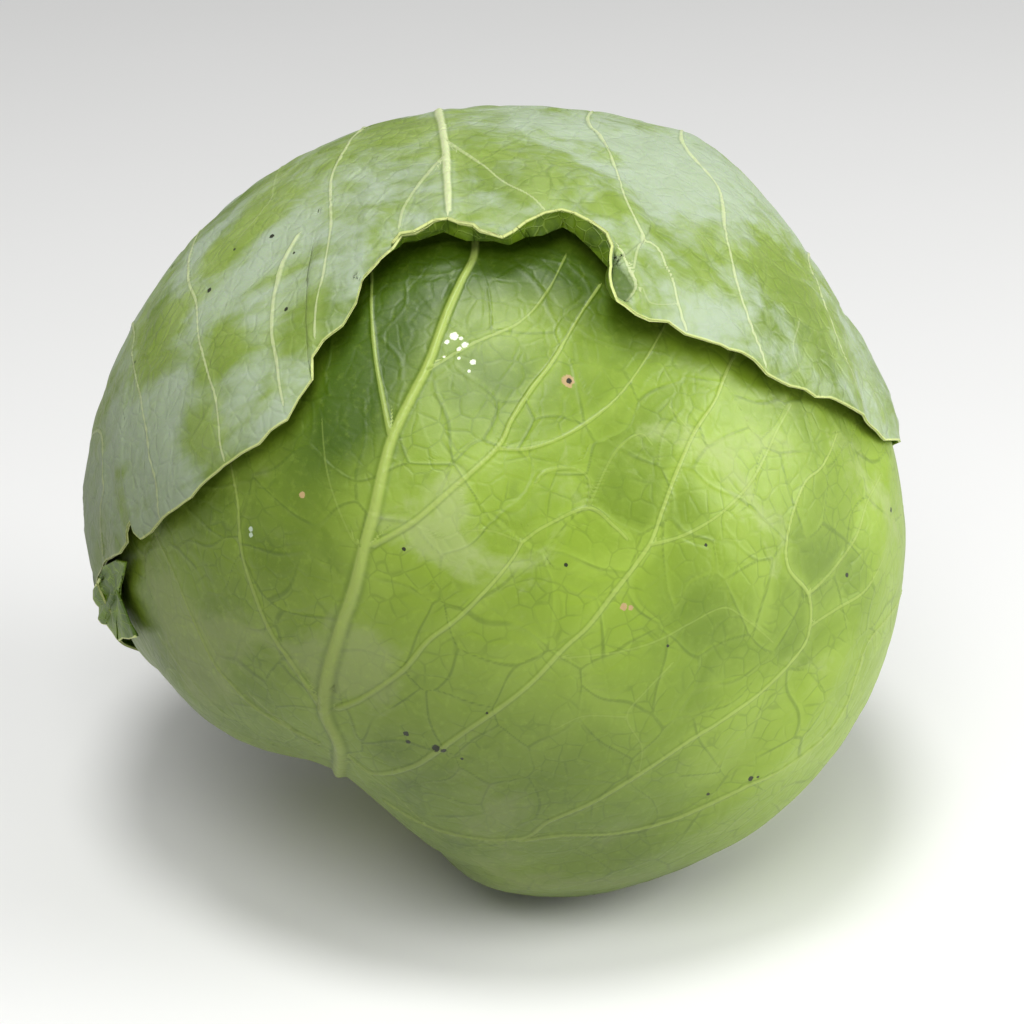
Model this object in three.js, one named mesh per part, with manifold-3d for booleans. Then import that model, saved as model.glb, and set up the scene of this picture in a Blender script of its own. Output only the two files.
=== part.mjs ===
// Cabbage head: a dense inner head on its stem core, wrapped by four loose outer leaves.
// Millimetres, +Z up, origin under the middle of the head on the surface that it rests on.
// Every surface is a radius from the middle of the head, so that the leaves lie in layers.
import * as THREE from "three";
import { mergeVertices } from "three/addons/utils/BufferGeometryUtils.js";
import Module from "manifold-3d";

// Driving dimensions
const HEAD_RADIUS = 88.5;
const HEAD_CENTRE = new THREE.Vector3(0.31, -1.77, 84.5);
const REST_HEIGHT = HEAD_CENTRE.z;
const BLADE = 1.3;
const RIM_BLADE = 1.0;
const BASE_BLADE = 1.2;
const BASE_SPREAD = 13;
const RELIEF = 0.9;
const GAP = 0.45;
const COVER_FADE = 9;
const LIFT_FROM = 0.72;
const LIP_STEP = 1.3;
const LIP_RUN = 2.1;
const STEM_RADIUS = 14;
const STEM_NECK_RADIUS = 12;
const STEM_CUT = 62;
const STEM_SHOULDER = 54;
const STEM_NECK = 38;
const STEM_BEVEL = 1.5;
const STEM_DISH = 0.8;
const CORE_TIP = 12;
const CORE_TIP_RADIUS = 7;
const CORE_CLEARANCE = 0.35;
const HEAD_CLEARANCE = 2.4;

// Fineness of the facets, in degrees, mm and counts
const SPOKE_TURN = 11;
const CLOSE = 16;
const RIB_STEP = 15;
const RIB_SUNK = 0.9;
const STEM_SIDES = 28;
const HEAD_COLUMNS = 30;
const HEAD_ROWS = 16;
const SIGHT_PASSES = 12;

// Limits in mm for tidying joined facets
const WELD = 0.001;
const SHORT_EDGE = 0.15;
const FLAT_TRIANGLE = 0.02;
const TOO_FLAT = 0.006;
const SPLIT_RISE = 0.04;
const TOUCHING = 0.03;
const PARTING = 0.06;
const TIDY_PASSES = 8;
const FLIP = 0.2;

// The photograph's view: pixels of its 1024 frame are turned into directions from the head's middle
const VIEW_ELEVATION = 25;
const EYE_DISTANCE = 700;
const MM_PER_PIXEL = 0.236;
const CENTRE_PIXEL = [497, 500];

const DEGREE = Math.PI / 180;
const LATHE_AXIS = new THREE.Vector3(0, 1, 0);
const elevation = VIEW_ELEVATION * DEGREE;
const RIGHT = new THREE.Vector3(1, 0, 0);
const UP = new THREE.Vector3(0, Math.sin(elevation), Math.cos(elevation));
const TOWARD = new THREE.Vector3(0, -Math.cos(elevation), Math.sin(elevation));

// A direction by its angle round the photograph's middle and its lean toward the viewer
function seen(angle, toward) {
  const flat = Math.cos(toward * DEGREE);
  return new THREE.Vector3()
    .addScaledVector(RIGHT, flat * Math.cos(angle * DEGREE))
    .addScaledVector(UP, flat * Math.sin(angle * DEGREE))
    .addScaledVector(TOWARD, Math.sin(toward * DEGREE));
}

const STEM_AXIS = seen(240, -15);

// Broad swellings and hollows of the head: [angle, toward, spread in degrees, share of the radius]
const SWELLINGS = [
  [325, 5, 40, 0.062],
  [165, 0, 24, 0.025],
  [188, 0, 15, 0.02],
  [60, 5, 12, 0.045],
  [96, 5, 18, -0.01],
  [240, -15, 20, -0.26],
  [243, 9, 17, -0.185],
  [238, 30, 14, -0.07],
  [219, 3, 11, -0.085],
  [203, 0, 7, 0.02],
  [16, -4, 14, -0.055],
  [30, 0, 9, -0.015],
  [258, 4, 10, -0.045],
];

function bell(u, centre, spread) {
  const turn = Math.acos(THREE.MathUtils.clamp(u.dot(centre), -1, 1)) / DEGREE;
  return Math.exp(-((turn / spread) ** 2));
}

const swellings = SWELLINGS.map(([angle, toward, spread, share]) => ({
  centre: seen(angle, toward),
  spread,
  share,
}));

function bladeAt(u) {
  return BLADE + BASE_BLADE * bell(u, STEM_AXIS, BASE_SPREAD);
}

// Radius of the inner head, flat beneath so that one leaf over it has a level spot at the floor
function innerHead(u) {
  const share = swellings.reduce((sum, s) => sum + s.share * bell(u, s.centre, s.spread), 1);
  const free = HEAD_RADIUS * share;
  return u.z < 0 ? Math.min(free, REST_HEIGHT / -u.z - bladeAt(u) - GAP) : free;
}

function ease(x) {
  const t = THREE.MathUtils.clamp(x, 0, 1);
  return t * t * (3 - 2 * t);
}

// Polar frame round an axis, with azimuth 0 square to it and to a second direction
class Pole {
  constructor(direction, second = STEM_AXIS) {
    this.axis = direction.clone().normalize();
    this.side = new THREE.Vector3().crossVectors(second, this.axis).normalize();
    this.ahead = new THREE.Vector3().crossVectors(this.axis, this.side);
  }
  direction(azimuth, reach) {
    return new THREE.Vector3()
      .addScaledVector(this.axis, Math.cos(reach))
      .addScaledVector(this.side, Math.sin(reach) * Math.cos(azimuth))
      .addScaledVector(this.ahead, Math.sin(reach) * Math.sin(azimuth));
  }
  polar(u) {
    return {
      azimuth: Math.atan2(u.dot(this.ahead), u.dot(this.side)),
      reach: Math.acos(THREE.MathUtils.clamp(u.dot(this.axis), -1, 1)),
    };
  }
}

// A leaf: its pole, the margin as rows from its pole, and the leaves that it lies over
class Leaf {
  constructor(pole, below, margin) {
    this.pole = new Pole(pole);
    this.below = below;
    this.margin = margin(this)
      .map(({ u, lift = 0, lip = 0, radius = 0 }) => ({ ...this.pole.polar(u), lift, lip, radius }))
      .sort((a, b) => a.azimuth - b.azimuth);
    this.spokes = this.spread();
  }
  // The margin's rows with more between them, until no gap is wide and the count divides by four
  spread() {
    const spokes = [...this.margin];
    const turnAfter = (i) =>
      i < spokes.length - 1
        ? spokes[i + 1].azimuth - spokes[i].azimuth
        : spokes[0].azimuth + 2 * Math.PI - spokes[i].azimuth;
    for (;;) {
      const turns = spokes.map((_, i) => turnAfter(i));
      const widest = Math.max(...turns);
      if (widest <= SPOKE_TURN * DEGREE && spokes.length % 4 === 0) return spokes;
      const at = turns.indexOf(widest);
      const azimuth = spokes[at].azimuth + widest / 2;
      spokes.splice(at + 1, 0, { azimuth, radius: 0, lip: 0, ...this.edgeAt(azimuth) });
    }
  }
  // Reach, lift and lip of the margin at an azimuth, between its rows
  edgeAt(azimuth) {
    const rows = this.margin;
    const after = rows.findIndex((row) => row.azimuth > azimuth);
    const b = rows[Math.max(after, 0)];
    const a = rows[(Math.max(after, 0) + rows.length - 1) % rows.length];
    const turn = 2 * Math.PI;
    const span = (b.azimuth - a.azimuth + turn) % turn;
    const t = ((azimuth - a.azimuth + 2 * turn) % turn) / span;
    return { reach: a.reach + (b.reach - a.reach) * t, lift: a.lift + (b.lift - a.lift) * t };
  }
  // 1 over the leaf, fading to 0 outside its margin
  cover(u) {
    const { azimuth, reach } = this.pole.polar(u);
    return 1 - ease((reach - this.edgeAt(azimuth).reach) / (COVER_FADE * DEGREE));
  }
  // How far the leaf stands off what it lies on, near a lifted margin
  rise(u) {
    const { azimuth, reach } = this.pole.polar(u);
    const edge = this.edgeAt(azimuth);
    return edge.lift * ease((reach / edge.reach - LIFT_FROM) / (1 - LIFT_FROM));
  }
  top(u) {
    return this.outer(u) + this.rise(u);
  }
  inner(u) {
    return this.below.reduce(
      (sum, leaf) => sum + leaf.cover(u) * (bladeAt(u) + RELIEF + GAP),
      innerHead(u) + GAP,
    );
  }
  outer(u) {
    return this.inner(u) + bladeAt(u);
  }
}

// Where the line of sight through a pixel meets a surface, or passes nearest to it
function sighted([x, y], radiusAt) {
  const eye = TOWARD.clone().multiplyScalar(EYE_DISTANCE);
  const sight = TOWARD.clone()
    .multiplyScalar(-EYE_DISTANCE)
    .addScaledVector(RIGHT, (x - CENTRE_PIXEL[0]) * MM_PER_PIXEL)
    .addScaledVector(UP, (CENTRE_PIXEL[1] - y) * MM_PER_PIXEL)
    .normalize();
  const nearest = -eye.dot(sight);
  const miss = eye.clone().addScaledVector(sight, nearest).length();
  let u = TOWARD.clone();
  let radius = HEAD_RADIUS;
  for (let pass = 0; pass < SIGHT_PASSES; pass++) {
    const half = Math.sqrt(Math.max(radius * radius - miss * miss, 0));
    u = eye.clone().addScaledVector(sight, nearest - half).normalize();
    radius = radiusAt(u);
  }
  return { u, radius: Math.max(radius, miss) };
}

// Margins: rows [x, y, lift, lip] are pixels of the photograph with the edge's rise off the leaf
// below and its turned-out lip, in mm; rows [angle, toward, lift] lie where it doesn't show.
const HOOD_EDGE = [
  [126, 640, 0, 0], [105, 623, 0, 0], [90, 598, 1, 0], [98, 568, 2, 0],
  [125, 543, 2, 0], [129, 523, 2, 0], [148, 533, 2, 0], [162, 518, 2, 0], [191, 498, 2, 0],
  [218, 468, 2, 0], [237, 454, 3, 0], [269, 431, 3, 0], [286, 420, 3, 0], [296, 398, 3, 0],
  [310, 378, 3, 0], [310, 356, 4, 0], [321, 340, 4, 0], [341, 324, 4, 0], [355, 302, 4, 0],
  [363, 276, 4, 0], [377, 260, 4, 1], [393, 240, 4, 3], [414, 229, 4, 4], [440, 216, 4, 4],
  [460, 221, 4, 4], [480, 229, 4, 4], [502, 235, 4, 3], [526, 219, 4, 4], [544, 210, 4, 4],
  [574, 210, 4, 4], [595, 220, 5, 4], [612, 245, 5, 4], [616, 286, 5, 3], [626, 304, 5, 2],
  [651, 320, 4, 1], [670, 321, 4, 0], [687, 333, 4, 0], [716, 343, 3, 0], [755, 360, 3, 0],
  [779, 377, 3, 0], [808, 389, 2, 0], [834, 397, 2, 0], [864, 416, 1, 0], [886, 441, 0, 0],
  [896, 440, 0, 0],
];
const HOOD_BACK = [
  [7, -18, 0], [1, -34, 1], [-8, -47, 1], [-26, -60, 2], [-48, -65, 1], [-70, -62, 0],
  [-88, -60, 0], [-103, -55, 0], [-114, -45, 0], [-120, -36, 0], [-126, -30, 0],
  [-133, -26, 0], [-141, -21, 0], [-147, -17, 0], [-153, -13, 1],
];
const FRONT_MARGIN = [
  [90, 6, 0], [104, 8, 0], [118, 6, 0], [132, 6, 0], [146, 4, 0], [160, 0, 0], [174, -6, 0],
  [186, -10, 0], [197, -9, 0], [208, -16, 0], [218, -19, 0], [226, -17, 0], [228, -8, 0],
  [235, -2, 0], [241, 0, 0], [248, -4, 0], [255, -9, 0], [264, -6, 0], [274, 0, 0],
  [284, 1, 0], [295, 1, 0], [306, -4, 1], [317, -10, 1], [328, -17, 2], [340, -20, 1],
  [351, -23, 2], [1, -20, 1], [12, -14, 0], [24, -6, 0], [36, 2, 0], [50, 4, 0], [63, 8, 0],
  [77, 5, 0],
];
const RIGHT_MARGIN = [
  [255, -11, 0], [262, 8, 0], [274, 18, 0], [286, 22, 0], [299, 25, 0], [312, 26, 0],
  [326, 28, 0], [340, 28, 0], [354, 24, 0], [8, 17, 0], [22, 6, 0], [33, -8, 0], [40, -24, 0],
  [42, -40, 0], [36, -54, 0], [12, -66, 0], [-38, -72, 0], [-84, -66, 0], [-102, -54, 0],
  [-109, -42, 0], [-111, -31, 0], [-108, -21, 0],
];
const BACK_MARGIN = [
  [222, -27, 0], [211, -22, 1], [201, -17, 2], [192, -18, 2], [183, -15, 2], [176, -13, 2],
  [170.5, -9, 2], [165, -14, 2], [158, -22, 2], [150, -30, 3], [138, -40, 2], [128, -54, 3],
  [104, -66, 2], [48, -74, 3], [-12, -78, 2], [-62, -76, 3], [-90, -66, 2], [-104, -56, 1],
  [-115, -47, 0], [-122, -37, 0], [-128, -32, 0],
];

const hiddenRows = (rows) =>
  rows.map(([angle, toward, edgeLift]) => ({ u: seen(angle, toward), lift: edgeLift }));

function sightedRows(leaf, rows) {
  return rows.map(([x, y, edgeLift, lip]) => {
    const edge = sighted([x, y], (u) => leaf.outer(u) + edgeLift + lip);
    return { u: edge.u, lift: edgeLift, lip, radius: edge.radius };
  });
}

const rightLeaf = new Leaf(seen(-32, -42), [], () => hiddenRows(RIGHT_MARGIN));
const frontLeaf = new Leaf(seen(0, 88), [rightLeaf], () => hiddenRows(FRONT_MARGIN));
const hoodLeaf = new Leaf(seen(96, -24), [rightLeaf, frontLeaf], (leaf) => [
  ...sightedRows(leaf, HOOD_EDGE),
  ...hiddenRows(HOOD_BACK),
]);
const backLeaf = new Leaf(seen(205, -56), [rightLeaf, frontLeaf, hoodLeaf], () =>
  hiddenRows(BACK_MARGIN),
);

// Closed solids
const wasm = await Module();
wasm.setup();

function solid(points, faces) {
  return new wasm.Manifold(
    new wasm.Mesh({
      numProp: 3,
      vertProperties: new Float32Array(points.flatMap((p) => [p.x, p.y, p.z])),
      triVerts: new Uint32Array(faces.flat()),
    }),
  );
}

const placed = (u, radius) => HEAD_CENTRE.clone().addScaledVector(u, radius);

// The points and faces of an indexed geometry, its points merged, without faces drawn to nothing
function weldedFaces(geometry) {
  const merged = mergeVertices(geometry, WELD);
  const position = merged.getAttribute("position");
  const points = [];
  for (let i = 0; i < position.count; i++)
    points.push(new THREE.Vector3().fromBufferAttribute(position, i));
  const index = merged.index.array;
  const faces = [];
  for (let i = 0; i < index.length; i += 3) {
    const [a, b, c] = index.subarray(i, i + 3);
    if (a !== b && b !== c && c !== a) faces.push([a, b, c]);
  }
  return [points, faces];
}

function geometryOf(made) {
  const { vertProperties, triVerts } = made.getMesh();
  return new THREE.BufferGeometry()
    .setAttribute("position", new THREE.BufferAttribute(vertProperties, 3))
    .setIndex(new THREE.BufferAttribute(triVerts, 1));
}

// Triangles between closed rings of points, each ring as long as the next
function band(first, second, count) {
  const faces = [];
  for (let i = 0; i < count; i++) {
    const j = (i + 1) % count;
    faces.push([first + i, second + i, second + j], [first + i, second + j, first + j]);
  }
  return faces;
}

// The blade as rings of spokes from the pole to the margin, split alike on both faces. The inner
// rings hold every fourth and every second spoke.
function bladeOf(leaf, rings) {
  const { spokes } = leaf;
  const share = Math.max(...spokes.map((spoke) => spoke.reach)) / rings / DEGREE;
  const strideOf = (ring) => (ring * share <= CLOSE ? 4 : ring * share <= CLOSE * 2 ? 2 : 1);
  const outside = [placed(leaf.pole.axis, leaf.outer(leaf.pole.axis))];
  const inside = [placed(leaf.pole.axis, leaf.inner(leaf.pole.axis))];
  const ringStart = [0];
  for (let ring = 1; ring <= rings; ring++) {
    ringStart.push(outside.length);
    const atEdge = ring === rings;
    for (let i = 0; i < spokes.length; i += strideOf(ring)) {
      const { azimuth, reach, lift: edgeLift, lip, radius } = spokes[i];
      const bend = reach - (lip > 0 ? LIP_STEP * DEGREE : 0);
      const angle = atEdge ? reach : (bend * ring) / (rings - (lip > 0 ? 1 : 0));
      const u = leaf.pole.direction(azimuth, angle);
      const blade = atEdge ? RIM_BLADE : bladeAt(u);
      const stand = Math.max(edgeLift + lip, radius - leaf.outer(u));
      const middle = leaf.inner(u) + blade / 2 + (atEdge ? stand : leaf.rise(u));
      const steep = ring < rings - 1 ? 0 : Math.atan(lip / LIP_RUN) * (atEdge ? 1 : 0.5);
      const turn = (Math.sin(steep) * blade) / 2 / middle;
      const half = (Math.cos(steep) * blade) / 2;
      outside.push(placed(leaf.pole.direction(azimuth, angle - turn), middle + half));
      inside.push(placed(leaf.pole.direction(azimuth, angle + turn), middle - half));
    }
  }
  const faces = [];
  const size = outside.length;
  const point = (ring, spoke) => {
    const stride = strideOf(ring);
    return ringStart[ring] + ((spoke / stride) % (spokes.length / stride));
  };
  for (let spoke = 0; spoke < spokes.length; spoke += 4)
    faces.push([0, point(1, spoke), point(1, spoke + 4)]);
  for (let ring = 1; ring < rings; ring++) {
    const near = strideOf(ring);
    const far = strideOf(ring + 1);
    for (let a = 0; a < spokes.length; a += near) {
      const b = a + near;
      const middle = a + far;
      faces.push([point(ring, a), point(ring + 1, a), point(ring + 1, middle)]);
      faces.push([point(ring, a), point(ring + 1, middle), point(ring, b)]);
      if (far < near) faces.push([point(ring, b), point(ring + 1, middle), point(ring + 1, b)]);
    }
  }
  const under = faces.map(([a, b, c]) => [a + size, c + size, b + size]);
  const rim = band(ringStart[rings], size + ringStart[rings], spokes.length);
  return {
    blade: solid([...outside, ...inside], [...faces, ...under, ...rim]),
    facets: faces.map((face) => face.map((i) => outside[i])),
  };
}

// Radius of a blade's outer facets in a direction, or of the leaf's own surface past its margin
function facetRadius(leaf, facets, u) {
  const ray = new THREE.Ray(HEAD_CENTRE, u);
  const hit = new THREE.Vector3();
  for (const [a, b, c] of facets)
    if (ray.intersectTriangle(a, b, c, false, hit)) return hit.distanceTo(HEAD_CENTRE);
  return leaf.top(u);
}

// A raised rib along directions on a leaf, three-sided, tapering, with its foot sunk in the blade
function ribOn(leaf, facets, directions, [halfWidth, height], [endHalfWidth, endHeight]) {
  const curve = new THREE.CatmullRomCurve3(directions);
  const steps = Math.max(3, Math.round((curve.getLength() * HEAD_RADIUS) / RIB_STEP));
  const points = [];
  for (let step = 0; step <= steps; step++) {
    const t = step / steps;
    const u = curve.getPointAt(t).normalize();
    const across = new THREE.Vector3().crossVectors(curve.getTangentAt(t), u).normalize();
    const radius = facetRadius(leaf, facets, u);
    const wide = THREE.MathUtils.lerp(halfWidth, endHalfWidth, t);
    for (const side of [1, -1]) {
      const foot = u.clone().addScaledVector(across, (side * wide) / radius).normalize();
      points.push(placed(foot, facetRadius(leaf, facets, foot) - RIB_SUNK));
    }
    const crest = radius + THREE.MathUtils.lerp(height, endHeight, t);
    points.push(placed(u, u.z < 0 ? Math.min(crest, REST_HEIGHT / -u.z) : crest));
  }
  const last = points.length - 3;
  const faces = [[0, 1, 2], [last, last + 2, last + 1]];
  for (let step = 0; step < steps; step++) faces.push(...band(step * 3, step * 3 + 3, 3));
  return solid(points, faces);
}

const BACK_ROOTS = {
  high: seen(92, -42),
  upper: seen(82, -62),
  middle: seen(20, -80),
  lower: seen(286, -76),
  low: seen(252, -58),
};

// Veins: pixels of the photograph, or directions where they don't show
const onLeaf = (leaf, rows) =>
  rows.map((row) => (row.isVector3 ? row : sighted(row, (u) => leaf.top(u)).u));

const FRONT_VEINS = {
  midrib: [seen(240, 2), [341, 760], [325, 700], [338, 638], [354, 590], [374, 513], [394, 434],
    [430, 360], [460, 284], [474, 240], seen(95, 45), seen(94, 25)],
  sides: [
    [[374, 545], [412, 523], [453, 488], [496, 449], [530, 391], [580, 315], [600, 285]],
    [[345, 705], [402, 671], [458, 618], [522, 542]],
    [[350, 752], [411, 767], [464, 732], [535, 679], [616, 590], [663, 508], [694, 433],
      [726, 373], [745, 330]],
    [[385, 800], [440, 828], [519, 838], [593, 802], [684, 744], [763, 690], [808, 635], [809, 596],
      [788, 550], [804, 484], [837, 433]],
    [[519, 838], [622, 832], [705, 807], [802, 756], [857, 673], [900, 595]],
    [[325, 712], [296, 669], [256, 597], [238, 503], [231, 463]],
    [[318, 742], [231, 683], [194, 621], [154, 530]],
    [[390, 436], [376, 360], [372, 271]],
  ],
};
const HOOD_VEINS = {
  midrib: [seen(235, -32), seen(242, -44), BACK_ROOTS.low, BACK_ROOTS.lower, BACK_ROOTS.middle,
    BACK_ROOTS.upper, BACK_ROOTS.high, seen(97, -20), [439, 111], [447, 178], [449, 205]],
  sides: [
    [BACK_ROOTS.high, seen(112, -20), [363, 125], [332, 178], [324, 271], [317, 304]],
    [BACK_ROOTS.upper, seen(122, -38), seen(138, -16), [200, 231], [197, 304], [222, 452]],
    [BACK_ROOTS.middle, seen(140, -50), seen(153, -20), [134, 327], [144, 417], [159, 505]],
    [BACK_ROOTS.lower, seen(190, -60), seen(182, -30), [97, 480], [99, 557]],
    [BACK_ROOTS.high, seen(76, -18), [588, 119], [625, 200], [656, 247], [687, 322]],
    [BACK_ROOTS.upper, seen(58, -38), [682, 132], [726, 237], [765, 358]],
    [BACK_ROOTS.middle, seen(36, -48), seen(38, -12), [808, 257], [838, 345], [866, 410]],
  ],
};
const RIGHT_VEINS = {
  midrib: [seen(256, -22), seen(272, -20), seen(298, -18), seen(330, -20), seen(0, -22),
    seen(17, -25)],
  sides: [
    [seen(272, -20), seen(284, 0), seen(300, 12)],
    [seen(304, -18), seen(322, 2), seen(336, 14)],
    [seen(280, -20), seen(288, -42), seen(312, -62)],
    [seen(318, -19), seen(336, -38), seen(10, -52)],
  ],
};
const BACK_VEINS = {
  midrib: [seen(236, -31), seen(218, -44), seen(196, -58), seen(150, -66), seen(112, -62)],
  sides: [
    [seen(222, -41), seen(200, -36), seen(178, -20)],
    [seen(200, -56), seen(172, -48), seen(156, -32)],
    [seen(228, -38), seen(240, -60), seen(284, -72)],
    [seen(196, -59), seen(210, -76), seen(350, -82)],
  ],
};

// The biggest body of a joined or cut solid, without pockets, scraps, doubled edges or slivers
function tidied(joined) {
  const bodies = solid(...weldedFaces(geometryOf(joined))).decompose();
  const biggest = bodies.reduce((best, body) => (body.volume() > best.volume() ? body : best));
  let mesh = weldedFaces(geometryOf(biggest));
  for (let again = true, round = 0; again && round < TIDY_PASSES; round++) {
    for (const step of [partedEdges, closedEdges, turnedEdges, partedPoints])
      for (let changed = true, pass = 0; changed && pass < TIDY_PASSES; pass++)
        [mesh, changed] = step(...mesh);
    mesh = weldedFaces(geometryOf(solid(...mesh)));
    again = [...edgesOf(mesh[1]).values()].some((users) => users.length > 2);
  }
  return solid(...mesh);
}

const normalOf = (points, face) =>
  new THREE.Triangle(...face.map((i) => points[i])).getNormal(new THREE.Vector3());

// The faces on each edge, by its two points
function edgesOf(faces) {
  const onEdge = new Map();
  for (const face of faces)
    for (let k = 0; k < 3; k++) {
      const [from, to] = [face[k], face[(k + 1) % 3]];
      const key = Math.min(from, to) + " " + Math.max(from, to);
      if (!onEdge.has(key)) onEdge.set(key, []);
      onEdge.get(key).push({ face, from, to, apex: face[(k + 2) % 3] });
    }
  return onEdge;
}

// Where the diagonal of a flat facet runs along another facet's edge, four faces meet on one line.
// The two that lie in one plane are split at a point between their corners instead.
function partedEdges(points, faces) {
  const changed = new Set();
  const added = [];
  for (const users of edgesOf(faces).values()) {
    if (users.length < 4 || users.some(({ face }) => changed.has(face))) continue;
    const pairs = users.flatMap((one) =>
      users
        .filter((other) => other.from === one.to && other.apex !== one.apex)
        .map((other) => ({ one, other, flat: normalOf(points, one.face).dot(normalOf(points, other.face)) })),
    );
    const { one, other } = pairs.reduce((best, pair) => (pair.flat > best.flat ? pair : best));
    const middle = normalOf(points, one.face).multiplyScalar(SPLIT_RISE);
    for (const i of [one.from, one.apex, one.to, other.apex])
      middle.addScaledVector(points[i], 1 / 4);
    const m = points.push(middle) - 1;
    changed.add(one.face).add(other.face);
    added.push([one.to, one.apex, m], [one.apex, one.from, m]);
    added.push([other.to, other.apex, m], [other.apex, other.from, m]);
  }
  return [[points, [...faces.filter((face) => !changed.has(face)), ...added]], changed.size > 0];
}

// The points that share an edge with each point
function neighboursOf(faces) {
  const near = new Map();
  for (const face of faces)
    for (const i of face) {
      if (!near.has(i)) near.set(i, new Set());
      for (const j of face) if (j !== i) near.get(i).add(j);
    }
  return near;
}

// Draws the two ends of each very short edge together, where that leaves the surface whole and
// turns no face over
function closedEdges(points, faces) {
  const near = neighboursOf(faces);
  const facesAt = new Map();
  for (const face of faces) for (const i of face) facesAt.set(i, [...(facesAt.get(i) ?? []), face]);
  const turnsOver = (to, from) =>
    facesAt
      .get(to)
      .filter((face) => !face.includes(from))
      .some((face) => {
        const drawn = face.map((i) => (i === to ? from : i));
        return normalOf(points, face).dot(normalOf(points, drawn)) < FLIP;
      });
  const touched = new Set();
  const moved = new Map();
  for (const users of edgesOf(faces).values()) {
    const { from, to } = users[0];
    if (points[from].distanceTo(points[to]) > SHORT_EDGE) continue;
    const around = [...near.get(from), ...near.get(to)];
    const shared = [...near.get(from)].filter((i) => near.get(to).has(i));
    if (shared.length !== 2 || around.some((i) => touched.has(i))) continue;
    const ends = [[to, from], [from, to]].find(([one, other]) => !turnsOver(one, other));
    if (!ends) continue;
    for (const i of around) touched.add(i);
    moved.set(...ends);
  }
  const kept = faces
    .map((face) => face.map((i) => moved.get(i) ?? i))
    .filter(([a, b, c]) => a !== b && b !== c && c !== a);
  return [[points, kept], moved.size > 0];
}

function sidesOf(points, face) {
  return face.map((i, k) => points[i].distanceTo(points[face[(k + 1) % 3]]));
}

// A triangle's height over its longest side
function heightOf(points, face) {
  const area = new THREE.Triangle(...face.map((i) => points[i])).getArea();
  return (2 * area) / Math.max(...sidesOf(points, face));
}

// Moves points that all but meet, and corners that all but lie on the side across from them, each
// toward the middle of its own neighbours
function partedPoints(points, faces) {
  const near = neighboursOf(faces);
  const used = [...near.keys()];
  const pairs = used.flatMap((i, at) =>
    used
      .slice(at + 1)
      .filter((j) => points[i].distanceTo(points[j]) < TOUCHING)
      .map((j) => [i, j]),
  );
  const flat = faces
    .filter((face) => heightOf(points, face) < TOO_FLAT)
    .map((face) => {
      const opposite = sidesOf(points, face);
      return face[(opposite.indexOf(Math.max(...opposite)) + 2) % 3];
    });
  for (const i of new Set([...pairs.flat(), ...flat])) {
    const middle = new THREE.Vector3();
    for (const j of near.get(i)) middle.addScaledVector(points[j], 1 / near.get(i).size);
    points[i] = points[i].clone().addScaledVector(middle.sub(points[i]).normalize(), PARTING);
  }
  return [[points, faces], pairs.length + flat.length > 0];
}

// Turns the long edge of each triangle that is flat as a line, where that makes taller triangles
function turnedEdges(points, faces) {
  const near = neighboursOf(faces);
  const changed = new Set();
  const added = [];
  for (const users of edgesOf(faces).values()) {
    if (users.length !== 2 || users.some(({ face }) => changed.has(face))) continue;
    const [one, other] = users;
    const height = Math.min(heightOf(points, one.face), heightOf(points, other.face));
    if (height > FLAT_TRIANGLE || near.get(one.apex).has(other.apex)) continue;
    const turned = [[one.from, other.apex, one.apex], [other.apex, one.to, one.apex]];
    if (Math.min(...turned.map((face) => heightOf(points, face))) <= height) continue;
    if (normalOf(points, turned[0]).dot(normalOf(points, turned[1])) < FLIP) continue;
    changed.add(one.face).add(other.face);
    near.get(one.apex).add(other.apex);
    near.get(other.apex).add(one.apex);
    added.push(...turned);
  }
  return [[points, [...faces.filter((face) => !changed.has(face)), ...added]], changed.size > 0];
}

// A leaf's blade with its midrib and side ribs fused on as one solid
function ribbedLeaf(leaf, rings, veins, [midrib, midribEnd], [rib, ribEnd]) {
  const { blade, facets } = bladeOf(leaf, rings);
  const ribs = veins.sides.map((rows) => ribOn(leaf, facets, onLeaf(leaf, rows), rib, ribEnd));
  const stalk = ribOn(leaf, facets, onLeaf(leaf, veins.midrib), midrib, midribEnd);
  return tidied([stalk, ...ribs].reduce((joined, piece) => joined.add(piece), blade));
}

// The inner head: a globe of rings about the stem axis, closer together round the stem, with the
// core's socket cut into it
function innerHeadSolid() {
  const columns = HEAD_COLUMNS;
  const rows = HEAD_ROWS;
  const pole = new Pole(STEM_AXIS.clone().negate(), UP);
  const at = (u) => placed(u, innerHead(u) - HEAD_CLEARANCE);
  const points = [at(pole.axis)];
  for (let row = 1; row < rows; row++) {
    const down = Math.sin((row / rows) * (Math.PI / 2)) * Math.PI;
    for (let column = 0; column < columns; column++)
      points.push(at(pole.direction((column / columns) * 2 * Math.PI, down)));
  }
  points.push(at(pole.axis.clone().negate()));
  const faces = [];
  for (let i = 0; i < columns; i++) {
    const j = (i + 1) % columns;
    const last = 1 + (rows - 2) * columns;
    faces.push([0, 1 + i, 1 + j], [points.length - 1, last + j, last + i]);
  }
  for (let row = 1; row < rows - 1; row++)
    faces.push(...band(1 + (row - 1) * columns, 1 + row * columns, columns));
  return tidied(solid(points, faces).subtract(stemSolid(CORE_CLEARANCE)));
}

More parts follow.
